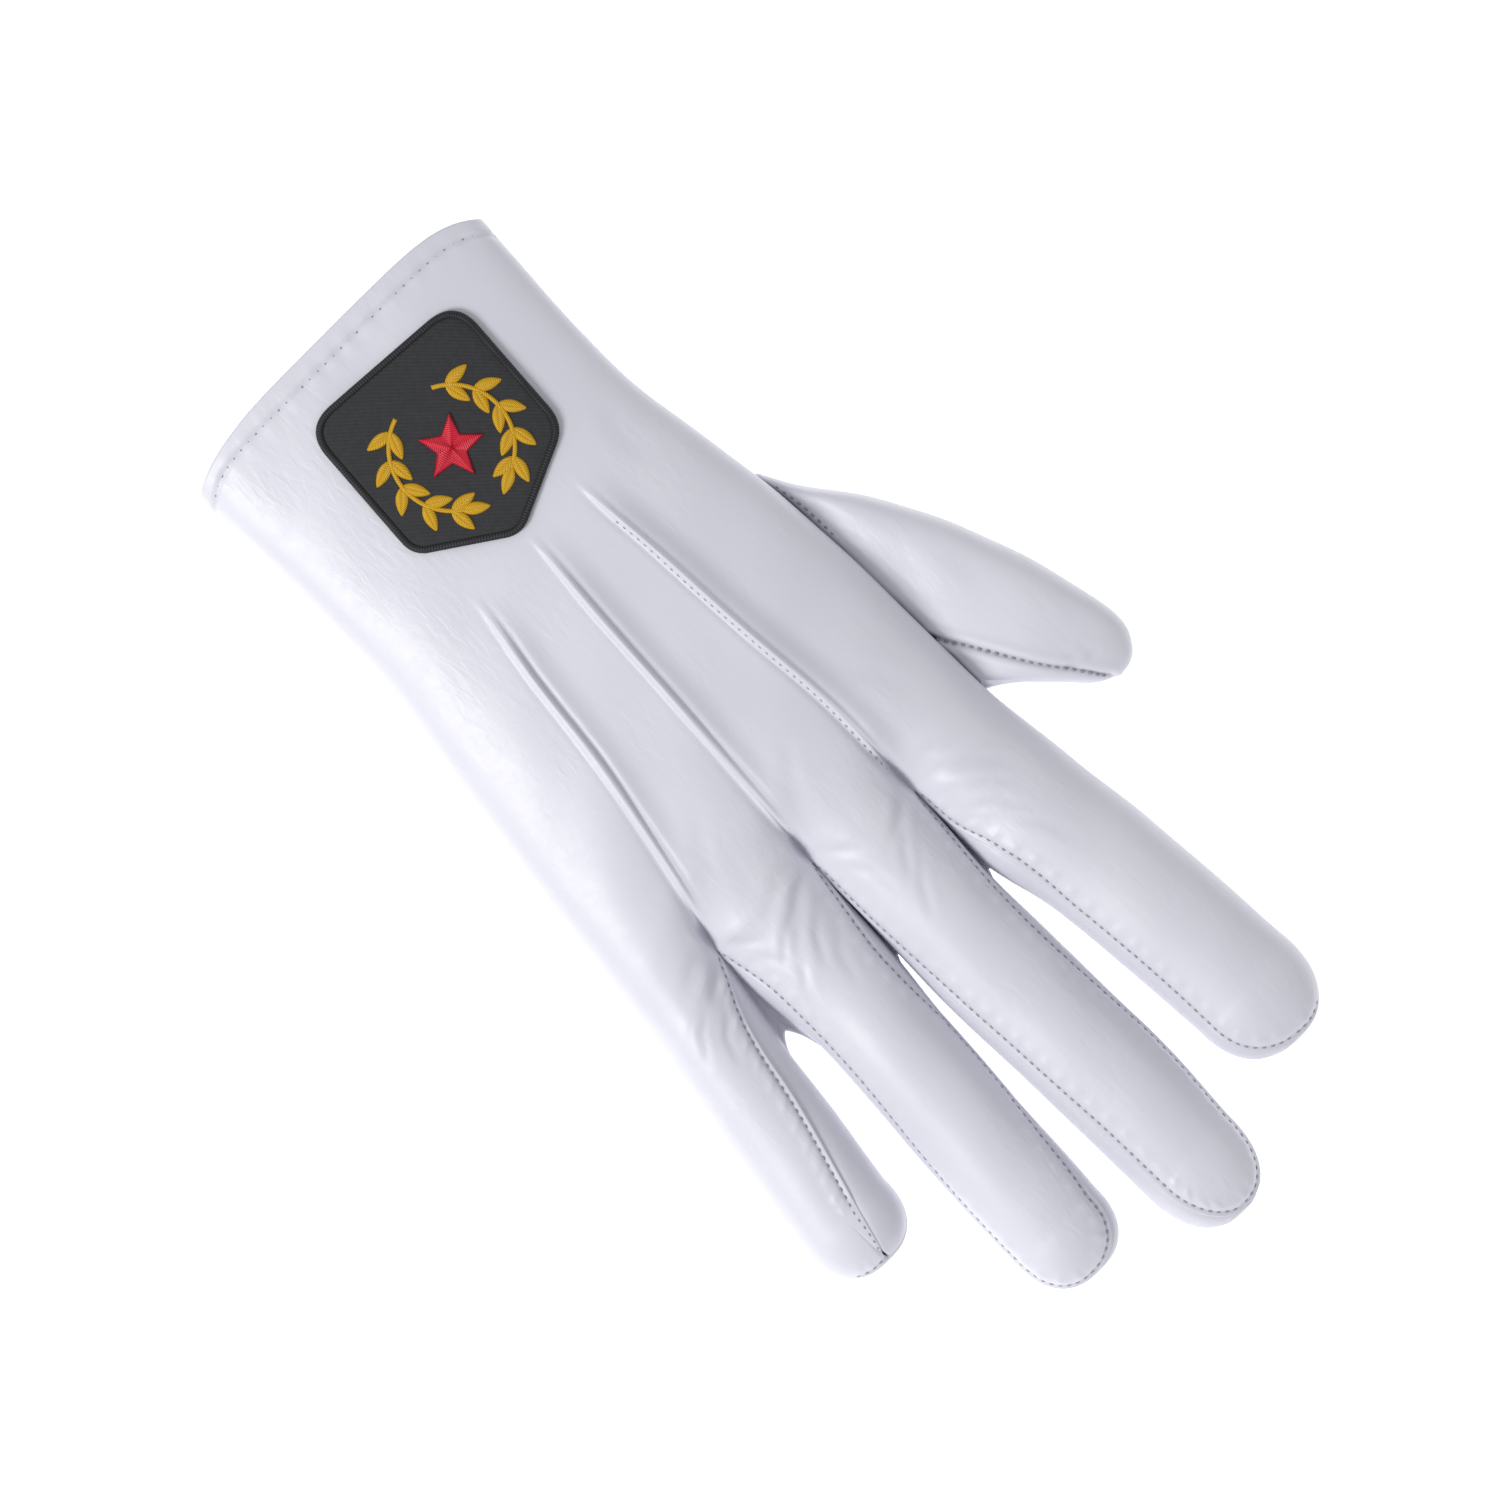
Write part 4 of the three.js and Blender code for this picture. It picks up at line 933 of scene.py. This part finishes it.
def fourchette(k):
    """Grids on the facing sides of fingers k and k + 1, between their back and palm seams, greyed
    all over as painted shade.
    """
    patches = []
    for finger, side in ((FINGERS[k], 1), (FINGERS[k + 1], -1)):
        row = np.minimum(finger_rows(90, 20), WEB_END)
        back, palm = seam_angles(finger, side, row)
        across = np.linspace(0, 1, 9)
        down = mix(WEB_TOP, 1 - WEB_BOTTOM, across)[None]
        grid = finger_point(finger, side, row, mix(back + GAP, palm - GAP, across), down, "web")
        d, _ = from_edge(grid[:, ::-1])
        tuck = -0.25 * smooth(1 - d[:, ::-1] / 1.2)
        # the 0.1 is painted shade over the whole strip, which faces in between the fingers
        patches.append(patch(grid, (side, 0, 0.2), tuck, 0.1))
    return patches


for k in range(3):
    leather_piece(f"fourchette_{NAMES[k]}_{NAMES[k + 1]}", fourchette(k))

# %% [markdown]
# The thumb is a pouch let into the palm's side. Seen from above it has the photograph's outline,
# and between that outline and its seam it swells to a low crown. Its own seam crosses its top near
# the end, where the pouch was closed.

# %% The thumb
# places round the thumb's outline: share of its length along, share of its span out
THUMB_ROWS = [(0.000, 0.00), (0.100, 0.14), (0.250, 0.42), (0.440, 0.67), (0.650, 0.87),
              (0.870, 1.00), (0.965, 0.93), (0.998, 0.76), (0.965, 0.56), (0.880, 0.34),
              (0.765, 0.02)]
THUMB_SEAM = [(-64.5, 59.5), (-63, 57.7), (-60, 53.2), (-57, 49.2), (-55, 46.2), (-52, 41.2),
              (-50, 37.7), (-48, 34.2), (-46, 31.2), (-44.2, 28.0)]
THUMB_CREASES = [
    ([(-66, 52.2), (-62, 52.6), (-58.5, 52.0)], 0.5, 0.7),
    ([(-47, 6), (-50, 12), (-52, 20), (-52, 28)], 0.35, 2.4),
    ([(-46.5, 12), (-48.5, 18), (-49, 26)], 0.3, 1.6),
    ([(-56, 14), (-58, 22), (-58, 30)], 0.25, 2.6),
    ([(-46, -8), (-47.5, 0), (-50, 6)], 0.3, 1.4)]


def thumb_grid():
    """Half a turn from the seam over the outline to the hole's lower edge, for each place round
    the outline: the top swells by the sine of twice the angle, and the underside lies flat."""
    share, turn = np.linspace(0.002, 0.998, 110)[:, None], np.linspace(0, math.pi, 48)[None]
    strip, edge = mix(*HOLE, share), seam_angles(FINGERS[0], -1, 0.0)[1] + GAP
    seam, low = (hand_point(FINGERS[0], -1, strip, np.full_like(strip, angle), edge, "palm")
                 for angle in (edge, mix(math.pi, edge, 0.5)))
    under = turn > math.pi / 2
    start = np.where(under[..., None], low, seam)
    places = np.linspace(0, 1, len(THUMB_ROWS))
    forward, out = (curve(list(zip(places, column)), share) for column in zip(*THUMB_ROWS))
    tip_x = seam[..., 0] - THUMB_SPAN * out
    tip_y = on_hand(THUMB_START) + THUMB_LENGTH * forward
    reach = np.sin(turn)
    middle = THUMB_HEIGHT * THUMB_SIDE_SHARE
    swell = np.sin(math.pi * share)**0.5 * np.sin(2 * np.minimum(turn, math.pi / 2))
    crown = (THUMB_HEIGHT - seam[..., 2]) * swell
    top = mix(middle, seam[..., 2], np.cos(turn)) + crown
    bottom = mix(low[..., 2], middle * flattened(reach, FINGER_FLAT), smooth(reach * 3))
    return np.stack([mix(start[..., 0], tip_x, reach), mix(start[..., 1], tip_y, reach),
                     np.where(under, bottom, top)], -1)


thumb_points = thumb_grid()
x, y, z = np.moveaxis(thumb_points, -1, 0)
upper = smooth((z - 4.5) / 2)
gap, _ = near(x, y, THUMB_SEAM)
groove, roll = bell(gap, 0, 0.5), bell(gap, 1.6, 1.0)
crease, shade = creased(x, y, THUMB_CREASES)
lift = (crease + 1.4 * wavy(x, y) - 0.55 * groove + 0.22 * roll) * upper
# painted shade: the thumb's creases and the groove of its closing seam are greyed on its top
leather_piece("thumb", [patch(thumb_points, (-0.6, 0, 0.1), lift, (shade + 0.5 * groove) * upper)])

# %% [markdown]
# The thread is what makes a glove look sewn. Each stitch is a short plump bar that dips into the
# leather at both ends. One bar is drawn as a small mesh of 36 faces, and whole arrays of
# places, directions and normals copy it along each seam. Of the three raised points only the first
# shows its stitches. The others hide theirs in the fold.

# %% Stitches
STITCH_LENGTH, THREAD = 1.0, 0.62


def pick(grid, k):
    """The k-th column's entry of each row."""
    return np.take_along_axis(grid, k.reshape(-1, *[1] * (grid.ndim - 1)), 1)[:, 0]


def grid_normals(points):
    """Normals of a grid from its two directions, turned to look up."""
    normal = unit(np.cross(np.gradient(points, axis=1), np.gradient(points, axis=0)))
    return normal * np.where(normal[..., 2:] < 0, -1, 1)


def line_at(points, inset):
    """Where each row of a grid is inset mm from its last column, and the normals there."""
    d, _ = from_edge(points)
    normal = grid_normals(points)
    k = np.clip((d > inset).sum(1) - 1, 0, points.shape[1] - 2)
    t = np.clip((pick(d, k) - inset) / (pick(d, k) - pick(d, k + 1) + 1e-9), 0, 1)[:, None]
    return [mix(pick(grid, k), pick(grid, k + 1), t) for grid in (points, normal)]


def evenly(path, normal, pitch=STITCH_PITCH, skip=(1.0, 0.5)):
    """Places every pitch mm along a path, with the way it runs and the normal at each."""
    s = run_along(path) + np.arange(len(path)) * 1e-6
    at = np.arange(skip[0], s[-1] - skip[1], pitch)
    place, ahead, up = (np.stack([np.interp(t, s, grid[:, i]) for i in range(3)], 1)
                        for t, grid in ((at, path), (at + 0.3, path), (at, normal)))
    along = unit(ahead - place)
    side = unit(np.cross(up, along))
    return place, along, side, np.cross(along, side)


def stitch_shape():
    """A bar of three six-sided rings between two ends, bowed down at the ends by 0.25 mm."""
    turn = np.arange(6) * math.pi / 3
    rings = [[(-0.5, 0, -0.25)]]
    for t, size in ((-0.36, 0.8), (0.0, 1.0), (0.36, 0.8)):
        rings.append([(t, size * math.cos(a), size * math.sin(a) * 0.8 - t * t) for a in turn])
    rings.append([(0.5, 0, -0.25)])
    points = np.array([p for ring in rings for p in ring])
    faces = []
    for k in range(6):
        n = (k + 1) % 6
        faces += [(0, 1 + n, 1 + k), (19, 13 + k, 13 + n)]
        for a, b in ((1, 7), (7, 13)):
            faces += [(a + k, a + n, b + n), (a + k, b + n, b + k)]
    return points, np.array(faces)


def stitches(runs, size=1.0):
    """Copies of the stitch: its own x along the seam, y across it and z out of the leather."""
    shape, faces = stitch_shape()
    place, along, side, up = (np.concatenate([run[i] for run in runs]) for i in range(4))
    long, half = shape[:, 0, None] * STITCH_LENGTH * size, THREAD / 2 * size
    points = (place[:, None] + along[:, None] * long + side[:, None] * shape[:, 1, None] * half
              + up[:, None] * shape[:, 2, None] * half)
    every = faces[None] + (np.arange(len(place)) * len(shape))[:, None, None]
    return points.reshape(-1, 3), every.reshape(-1, 3)


def on_back_leather(path, normal, sink):
    """A line on the plain back, moved onto the relief and then sunk into its groove."""
    x, y = path[:, 0], path[:, 1]
    lift = creased(x, y, HAND_CREASES)[0] + wavy(x, y) - sink
    return path + normal * lift[:, None]


# %% [markdown]
# Glove thread is twisted polyester, a shade greyer than the leather because its stitches sit in
# their own small shadows.

# %% Material: sewing thread
def sewing_thread():
    """Twisted polyester: matt, a little darker than the leather, ribbed across every 0.3 mm."""
    made, tree = empty_material("sewing_thread")
    place = node(tree, "TexCoord", out="Object")
    twist = noise(tree, 0.3, place)
    surface(tree, between(tree, twist, "#8F8F9B", "#AEAEB9"), 0.7, bump(tree, twist, 0.4, 0.08))
    return made


THREAD_FINISH = sewing_thread()

# %% Seams with stitches
# rows of the finger grids from which an outer seam shows, and how far the rows of the point's
# stitches keep from its start and from the crotch
OUTER_SEAM_ROW, POINT_FROM, POINT_END = 112, 0.46, 6
SEAM_SINK, POINT_SINK, HEM_SINK, THUMB_SINK, CLOSING_SINK = 0.12, 0.05, 0.24, 0.1, 0.3
HEM_SPAN = 0.965                        # share of the cuff's width that the stitches cross

runs = []
for (name, side), grid in SEAM_GRIDS.items():
    path, normal = line_at(grid, STITCH_INSET)
    outer = (name, side) in (("index", -1), ("little", 1))
    rows = slice(OUTER_SEAM_ROW if outer else 2, None)
    runs.append(evenly(on_back_leather(path, normal, SEAM_SINK)[rows], normal[rows]))
piece("finger_stitches", *stitches(runs), THREAD_FINISH, "leather")

path, normal = line_at(HAND_GRIDS["middle", -1], POINT_STITCH)
rows = ((path[:, 1] > on_hand(POINT_FROM))
        & (path[:, 1] < FORKS[0]["back"][1] - POINT_END))
run = evenly(on_back_leather(path, normal, POINT_SINK)[rows], normal[rows])
piece("point_stitches", *stitches([run], 0.9), THREAD_FINISH, "leather")

span = np.linspace(-HEM_SPAN, HEM_SPAN, 121)
x, y = span * curve(SIDES[1], CUFF_Y), cuff_edge(np.abs(span)) + HEM_STITCH
path = np.stack([x, y, hand_z(x, y, True)], 1)
normal = unit(np.cross(np.gradient(path, axis=0), [0, 1, 0]))
run = evenly(on_back_leather(path, normal, HEM_SINK), normal, pitch=2.2)
piece("hem_stitches", *stitches([run], 0.6), THREAD_FINISH, "leather")

# %% The thumb's stitches
# its closing seam lies on the nearest points of the pouch's top, and the other follows its edge
top = thumb_points[:, :25]
flat, up = top.reshape(-1, 3), grid_normals(top).reshape(-1, 3)
path = np.stack([np.interp(np.linspace(0, 1, 60), np.linspace(0, 1, len(THUMB_SEAM)), column)
                 for column in np.asarray(THUMB_SEAM, float).T], 1)
nearest = np.hypot(path[:, None, 0] - flat[:, 0], path[:, None, 1] - flat[:, 1]).argmin(1)
path = np.column_stack([path, flat[nearest, 2] - CLOSING_SINK])
runs = [evenly(path, up[nearest], skip=(2.5, 1.0))]
path, normal = (grid[4:46] for grid in line_at(top[:, ::-1], 1.2))
runs.append(evenly(path - THUMB_SINK * normal, normal))
piece("thumb_stitches", *stitches(runs), THREAD_FINISH, "leather")

# %% [markdown]
# The badge is a shield of dark twill with an overlocked edge and raised satin-stitch motifs: a
# laurel wreath of two sprigs round a star. Each thread lies across its leaf or its arm, so a value
# stored on the points, in millimetres across the threads, drives the thread pattern.

# %% The badge's ground
BADGE_WIDTH, BADGE_HEIGHT, BADGE_CENTRE, BADGE_TURN = 40.0, 44.6, 34.1, math.radians(-4)
BADGE_DRIFT = -0.035                    # of its middle, as a share of the knuckles' width
# heights of its seat and top, how far its rim falls, and where its motifs begin, sunk in the cloth
BADGE_SEAT, BADGE_TOP, BADGE_RIM = 0.15, 1.2, 0.35
BADGE_FOOT = BADGE_TOP - 0.1
# corners as shares of the width and height from the middle, and their rounding
BADGE_CORNERS = [(0.02, 0.50, 0.06), (-0.50, 0.25, 0.08), (-0.50, -0.50, 0.13),
                 (0.50, -0.50, 0.13), (0.50, 0.25, 0.06)]


def badge_outline(count):
    """Five corners, each a quadratic arc, joined by straight lines and divided evenly."""
    corner = np.array([(x * BADGE_WIDTH, y * BADGE_HEIGHT) for x, y, _ in BADGE_CORNERS])
    reach = np.array([row[2] for row in BADGE_CORNERS]) * BADGE_WIDTH * 1.4
    t = np.linspace(0, 1, 24)[:, None]
    parts = []
    for i in range(5):
        back, on = corner[i - 1] - corner[i], corner[(i + 1) % 5] - corner[i]
        a = corner[i] + back / np.linalg.norm(back) * reach[i]
        b = corner[i] + on / np.linalg.norm(on) * reach[i]
        parts.append((1 - t)**2 * a + 2 * t * (1 - t) * corner[i] + t**2 * b)
    loop = np.concatenate(parts + [parts[0][:1]])
    s = run_along(loop)
    at = np.linspace(0, s[-1], count + 1)
    return np.stack([np.interp(at, s, loop[:, 0]), np.interp(at, s, loop[:, 1])], 1), at


def on_badge(x, y, lift):
    """A flat place of the badge, turned and laid on the glove's back at a height above it."""
    cos, sin = math.cos(BADGE_TURN), math.sin(BADGE_TURN)
    px = BADGE_DRIFT * KNUCKLE_WIDTH + x * cos - y * sin
    py = CUFF_Y + BADGE_CENTRE + x * sin + y * cos
    return np.stack(np.broadcast_arrays(px, py, hand_z(px, py, True) + lift), -1)


def padded(x, y, height, phase):
    """Patches of a raised motif's top and of its flat underside, a little sunk in the cloth. phase
    is the place across the threads in mm."""
    return [patch(on_badge(x, y, height), (0, 0, 1), tint=phase),
            patch(on_badge(x, y, BADGE_FOOT + 0 * height), (0, 0, -1), tint=phase)]


def badge_piece(name, patches, finish, slot, replaced):
    """Joins patches into one closed piece with its thread value."""
    points, faces, _, phase = joined(patches, 0.004)
    piece(name, points, faces, finish, slot, (replaced,), thread=phase)


outline, _ = badge_outline(240)
share = np.concatenate([np.linspace(0, 0.9, 16), np.linspace(0.9, 1, 8)[1:]])
height = BADGE_TOP - BADGE_RIM * smooth((share - 0.9) / 0.1)
height = np.concatenate([height, np.full(len(share), BADGE_SEAT)])
share = np.concatenate([share, share[::-1]])[:, None]
ground = on_badge(share * outline[:, 0], share * outline[:, 1], height[:, None])


# %% Materials: twill and satin stitch
def dark_twill():
    """Charcoal polyester twill: matt, with ribs 0.55 mm apart running slantwise."""
    made, tree = empty_material("dark_twill")
    place = node(tree, "TexCoord", out="Object")
    ribs = node(tree, "TexWave", {"Vector": place},
                {"Scale": 1 / (0.55 * MM) * math.pi / 10, "Distortion": 0.35, "Detail": 2.0},
                out="Fac", wave_type="BANDS", bands_direction="DIAGONAL")
    colour = between(tree, noise(tree, 1.1, place, Detail=5.0), "#222325", "#37383B")
    surface(tree, colour, 0.78, bump(tree, ribs, 0.5, 0.1), Sheen_Weight=0.15, Sheen_Roughness=0.5)
    return made


def satin_stitch(name, dark, bright, pitch=0.42, gloss=0.42):
    """Rayon embroidery thread laid side by side, in its own colour with a painted highlight along
    each thread and painted shade between them.
    """
    made, tree = empty_material(name)
    across = node(tree, "Attribute", attribute_name="thread", out="Fac")
    turn = node(tree, "Math", {0: across}, {1: 2 * math.pi / pitch}, out=0,
                operation="MULTIPLY")
    wave = node(tree, "Math", {0: turn}, out=0, operation="SINE")
    height = node(tree, "MapRange", {"Value": wave}, {"From Min": -1.0}, out="Result")
    # dark is the painted shade between the threads and bright the painted highlight along them
    surface(tree, between(tree, height, dark, bright), gloss, bump(tree, height, 0.8, 0.1))
    return made


badge_piece("badge_cloth", [patch(ground, (0, 0, 1))], dark_twill(), "badge_cloth", "badge_backing")

# %% The badge's overlocked edge
EDGE_IN, EDGE_WIDTH, EDGE_HIGH, EDGE_RISE, EDGE_THREADS = 0.75, 1.5, 0.95, 0.62, 260
outline, run = badge_outline(900)
way = np.gradient(outline[:-1], axis=0)
way = np.concatenate([way, way[:1]])
inward = unit(np.stack([way[:, 1], -way[:, 0]], 1))
inward *= -np.sign((inward * outline).sum())
turn = np.linspace(0, 2 * math.pi, 13)[:, None]
bulge = 1 + 0.05 * np.sin(2 * math.pi * run / (run[-1] / EDGE_THREADS) + turn)
inset = EDGE_IN + bulge * EDGE_WIDTH / 2 * np.cos(turn)
rise = EDGE_HIGH + bulge * EDGE_RISE * np.sin(turn)
roll = on_badge(outline[:, 0] + inset * inward[:, 0], outline[:, 1] + inset * inward[:, 1], rise)
overlock = satin_stitch("dark_overlock", "#141416", "#2C2D30", pitch=0.6, gloss=0.6)
badge_piece("badge_edge", [patch(roll, (0, 0, 1), tint=run[None] + 0 * turn)], overlock,
            "badge_edge", "badge_border")

# %% The laurel sprigs
WREATH, LEAF_LENGTH, LEAF_WIDTH, STEM = 12.6, 6.0, 2.7, 0.95
PADDING, VEIN = 0.75, 0.22              # height of a leaf, and depth of the vein pressed into it
WREATH_FROM, WREATH_TO, LEAF_LEAN = math.radians(-68), math.radians(62), math.radians(38)


def leaf(x, y, way):
    """A padded leaf: half width by the sine of the way along, height by a half circle across it,
    with a vein pressed into its middle. Its threads slant back from the vein."""
    u = np.linspace(0, 1, 19)[:, None]
    v = np.linspace(-1, 1, 15)[None]
    half = LEAF_WIDTH / 2 * np.sin(math.pi * u**0.85)**0.8 + 0.02
    forward, aside = u * LEAF_LENGTH, v * half
    swell = np.sqrt(1 - v**2) * np.maximum(np.sin(math.pi * u), 0)**0.35
    height = BADGE_FOOT + (PADDING - VEIN * bell(v, 0, 0.14)) * swell
    px = x + forward * math.cos(way) - aside * math.sin(way)
    py = y + forward * math.sin(way) + aside * math.cos(way)
    return padded(px, py, height, forward - 0.9 * np.abs(aside))


def sprig(side):
    """A bent stem with pairs of leaves leaning off it and one at its end."""
    turn = np.linspace(WREATH_FROM, WREATH_TO, 120)[None]
    round_it = np.linspace(0, 2 * math.pi, 11)[:, None]
    radius = WREATH + STEM / 2 * np.cos(round_it)
    px, py = side * radius * np.cos(turn), radius * np.sin(turn)
    along = np.clip((turn - WREATH_FROM) / (WREATH_TO - WREATH_FROM), 0, 1)
    thick = np.sin(math.pi * along)**0.15
    height = BADGE_TOP + 0.05 + 0.45 * np.sin(round_it) * thick
    phase = turn * WREATH + 0.3 * np.cos(round_it)
    parts = [patch(on_badge(px, py, height), (0, 0, 1), tint=phase)]
    spots = [(mix(WREATH_FROM, WREATH_TO, (k + 0.5) / 5), lean) for k in range(5)
             for lean in (-1, 1)]
    for angle, lean in spots + [(WREATH_TO - 0.07, 0)]:
        way = angle + math.pi / 2 - lean * LEAF_LEAN
        way = way if side > 0 else math.pi - way
        parts += leaf(side * WREATH * math.cos(angle), WREATH * math.sin(angle), way)
    return parts


gold = satin_stitch("gold_satin_stitch", "#B98500", "#F7C51A")
for side, name in ((-1, "left"), (1, "right")):
    badge_piece(f"laurel_{name}", sprig(side), gold, "badge_gold", f"badge_sprig_{name}")

# %% The star
STAR, WAIST, RIDGE, NOTCH_HIGH = 7.2, 0.45, 0.95, 0.55


def star():
    """Ten facets from the middle to the arms' edges: ridged along each arm and rounded off at the
    rim. Its threads cross each arm."""
    u, v = np.linspace(0, 1, 16)[:, None], np.linspace(0, 1, 9)[None]
    parts = []
    for k in range(5):
        arm = math.pi / 2 + k * 2 * math.pi / 5
        for lean in (-1, 1):
            notch = arm + lean * math.pi / 5
            x, y = (u * STAR * mix(turned(arm), WAIST * turned(notch), v)
                    for turned in (math.cos, math.sin))
            rim = np.clip((1 - u) * 7, 0, 1)**0.5
            height = BADGE_FOOT + rim * mix(RIDGE, NOTCH_HIGH, v)
            parts += padded(x, y, height, x * math.cos(arm) + y * math.sin(arm))
    return parts


red = satin_stitch("red_satin_stitch", "#B00A26", "#F2253F")
badge_piece("badge_star_embroidery", star(), red, "badge_red", "badge_star")

# %% [markdown]
# The photograph looks straight down from far off, with the fingers to the lower right, so the
# camera is a long lens two metres up. The light is soft and comes mostly from the little finger's
# side. The floor is a pale sheet that gives out a little light of its own, as a lit white table
# does, so that it stays brighter than the leather.

# %% Floor, camera and light
VIEW_WIDTH, VIEW_DISTANCE = 300.0, 2000.0
VIEW_CENTRE = (-2.8, 18.6, 10.0)


def build_stage():
    """A floor 8 m wide, white, under the glove."""
    mesh = bpy.data.meshes.new("floor")
    mesh.from_pydata([(-4, -4, 0), (4, -4, 0), (4, 4, 0), (-4, 4, 0)], [], [(0, 1, 2, 3)])
    made, tree = empty_material("white_table")
    surface(tree, linear("#FDFDFE"), 0.9, Emission_Color=linear("#FFFFFF"), Emission_Strength=0.6)
    mesh.materials.append(made)
    placed("floor", mesh)


def build_camera():
    """Long lens over the middle of the picture, its right side towards -X and +Y."""
    lens = bpy.data.cameras.new("camera")
    lens.sensor_width = 36.0
    lens.lens = 36.0 * VIEW_DISTANCE / VIEW_WIDTH
    lens.clip_end = 20.0
    camera = placed("camera", lens)
    x, y, z = VIEW_CENTRE
    camera.location = (x * MM, y * MM, (z + VIEW_DISTANCE) * MM)
    camera.rotation_euler = (0, 0, math.radians(135))
    bpy.context.scene.camera = camera


def area_light(name, place, size, power):
    """A square soft light that looks at the glove."""
    lamp = bpy.data.lights.new(name, "AREA")
    lamp.size, lamp.energy = size, power
    light = placed(name, lamp)
    light.location = place
    at = -np.asarray(place, float)
    turn = math.atan2(at[1], at[0]) - math.pi / 2
    light.rotation_euler = (math.acos(-at[2] / np.linalg.norm(at)), 0, turn)


def build_light():
    """A large key light on the little finger's side, a weak fill, and an even pale sky."""
    area_light("key", (1.3, -0.35, 1.45), 0.7, 22.5)
    area_light("fill", (-1.3, 0.2, 1.6), 1.2, 2)
    world = bpy.data.worlds.new("studio")
    world.use_nodes = True
    world.node_tree.nodes["Background"].inputs["Color"].default_value = linear("#FBFBFF")
    world.node_tree.nodes["Background"].inputs["Strength"].default_value = 0.43
    bpy.context.scene.world = world
    bpy.context.scene.view_settings.view_transform = "Standard"


build_stage()
build_camera()
build_light()
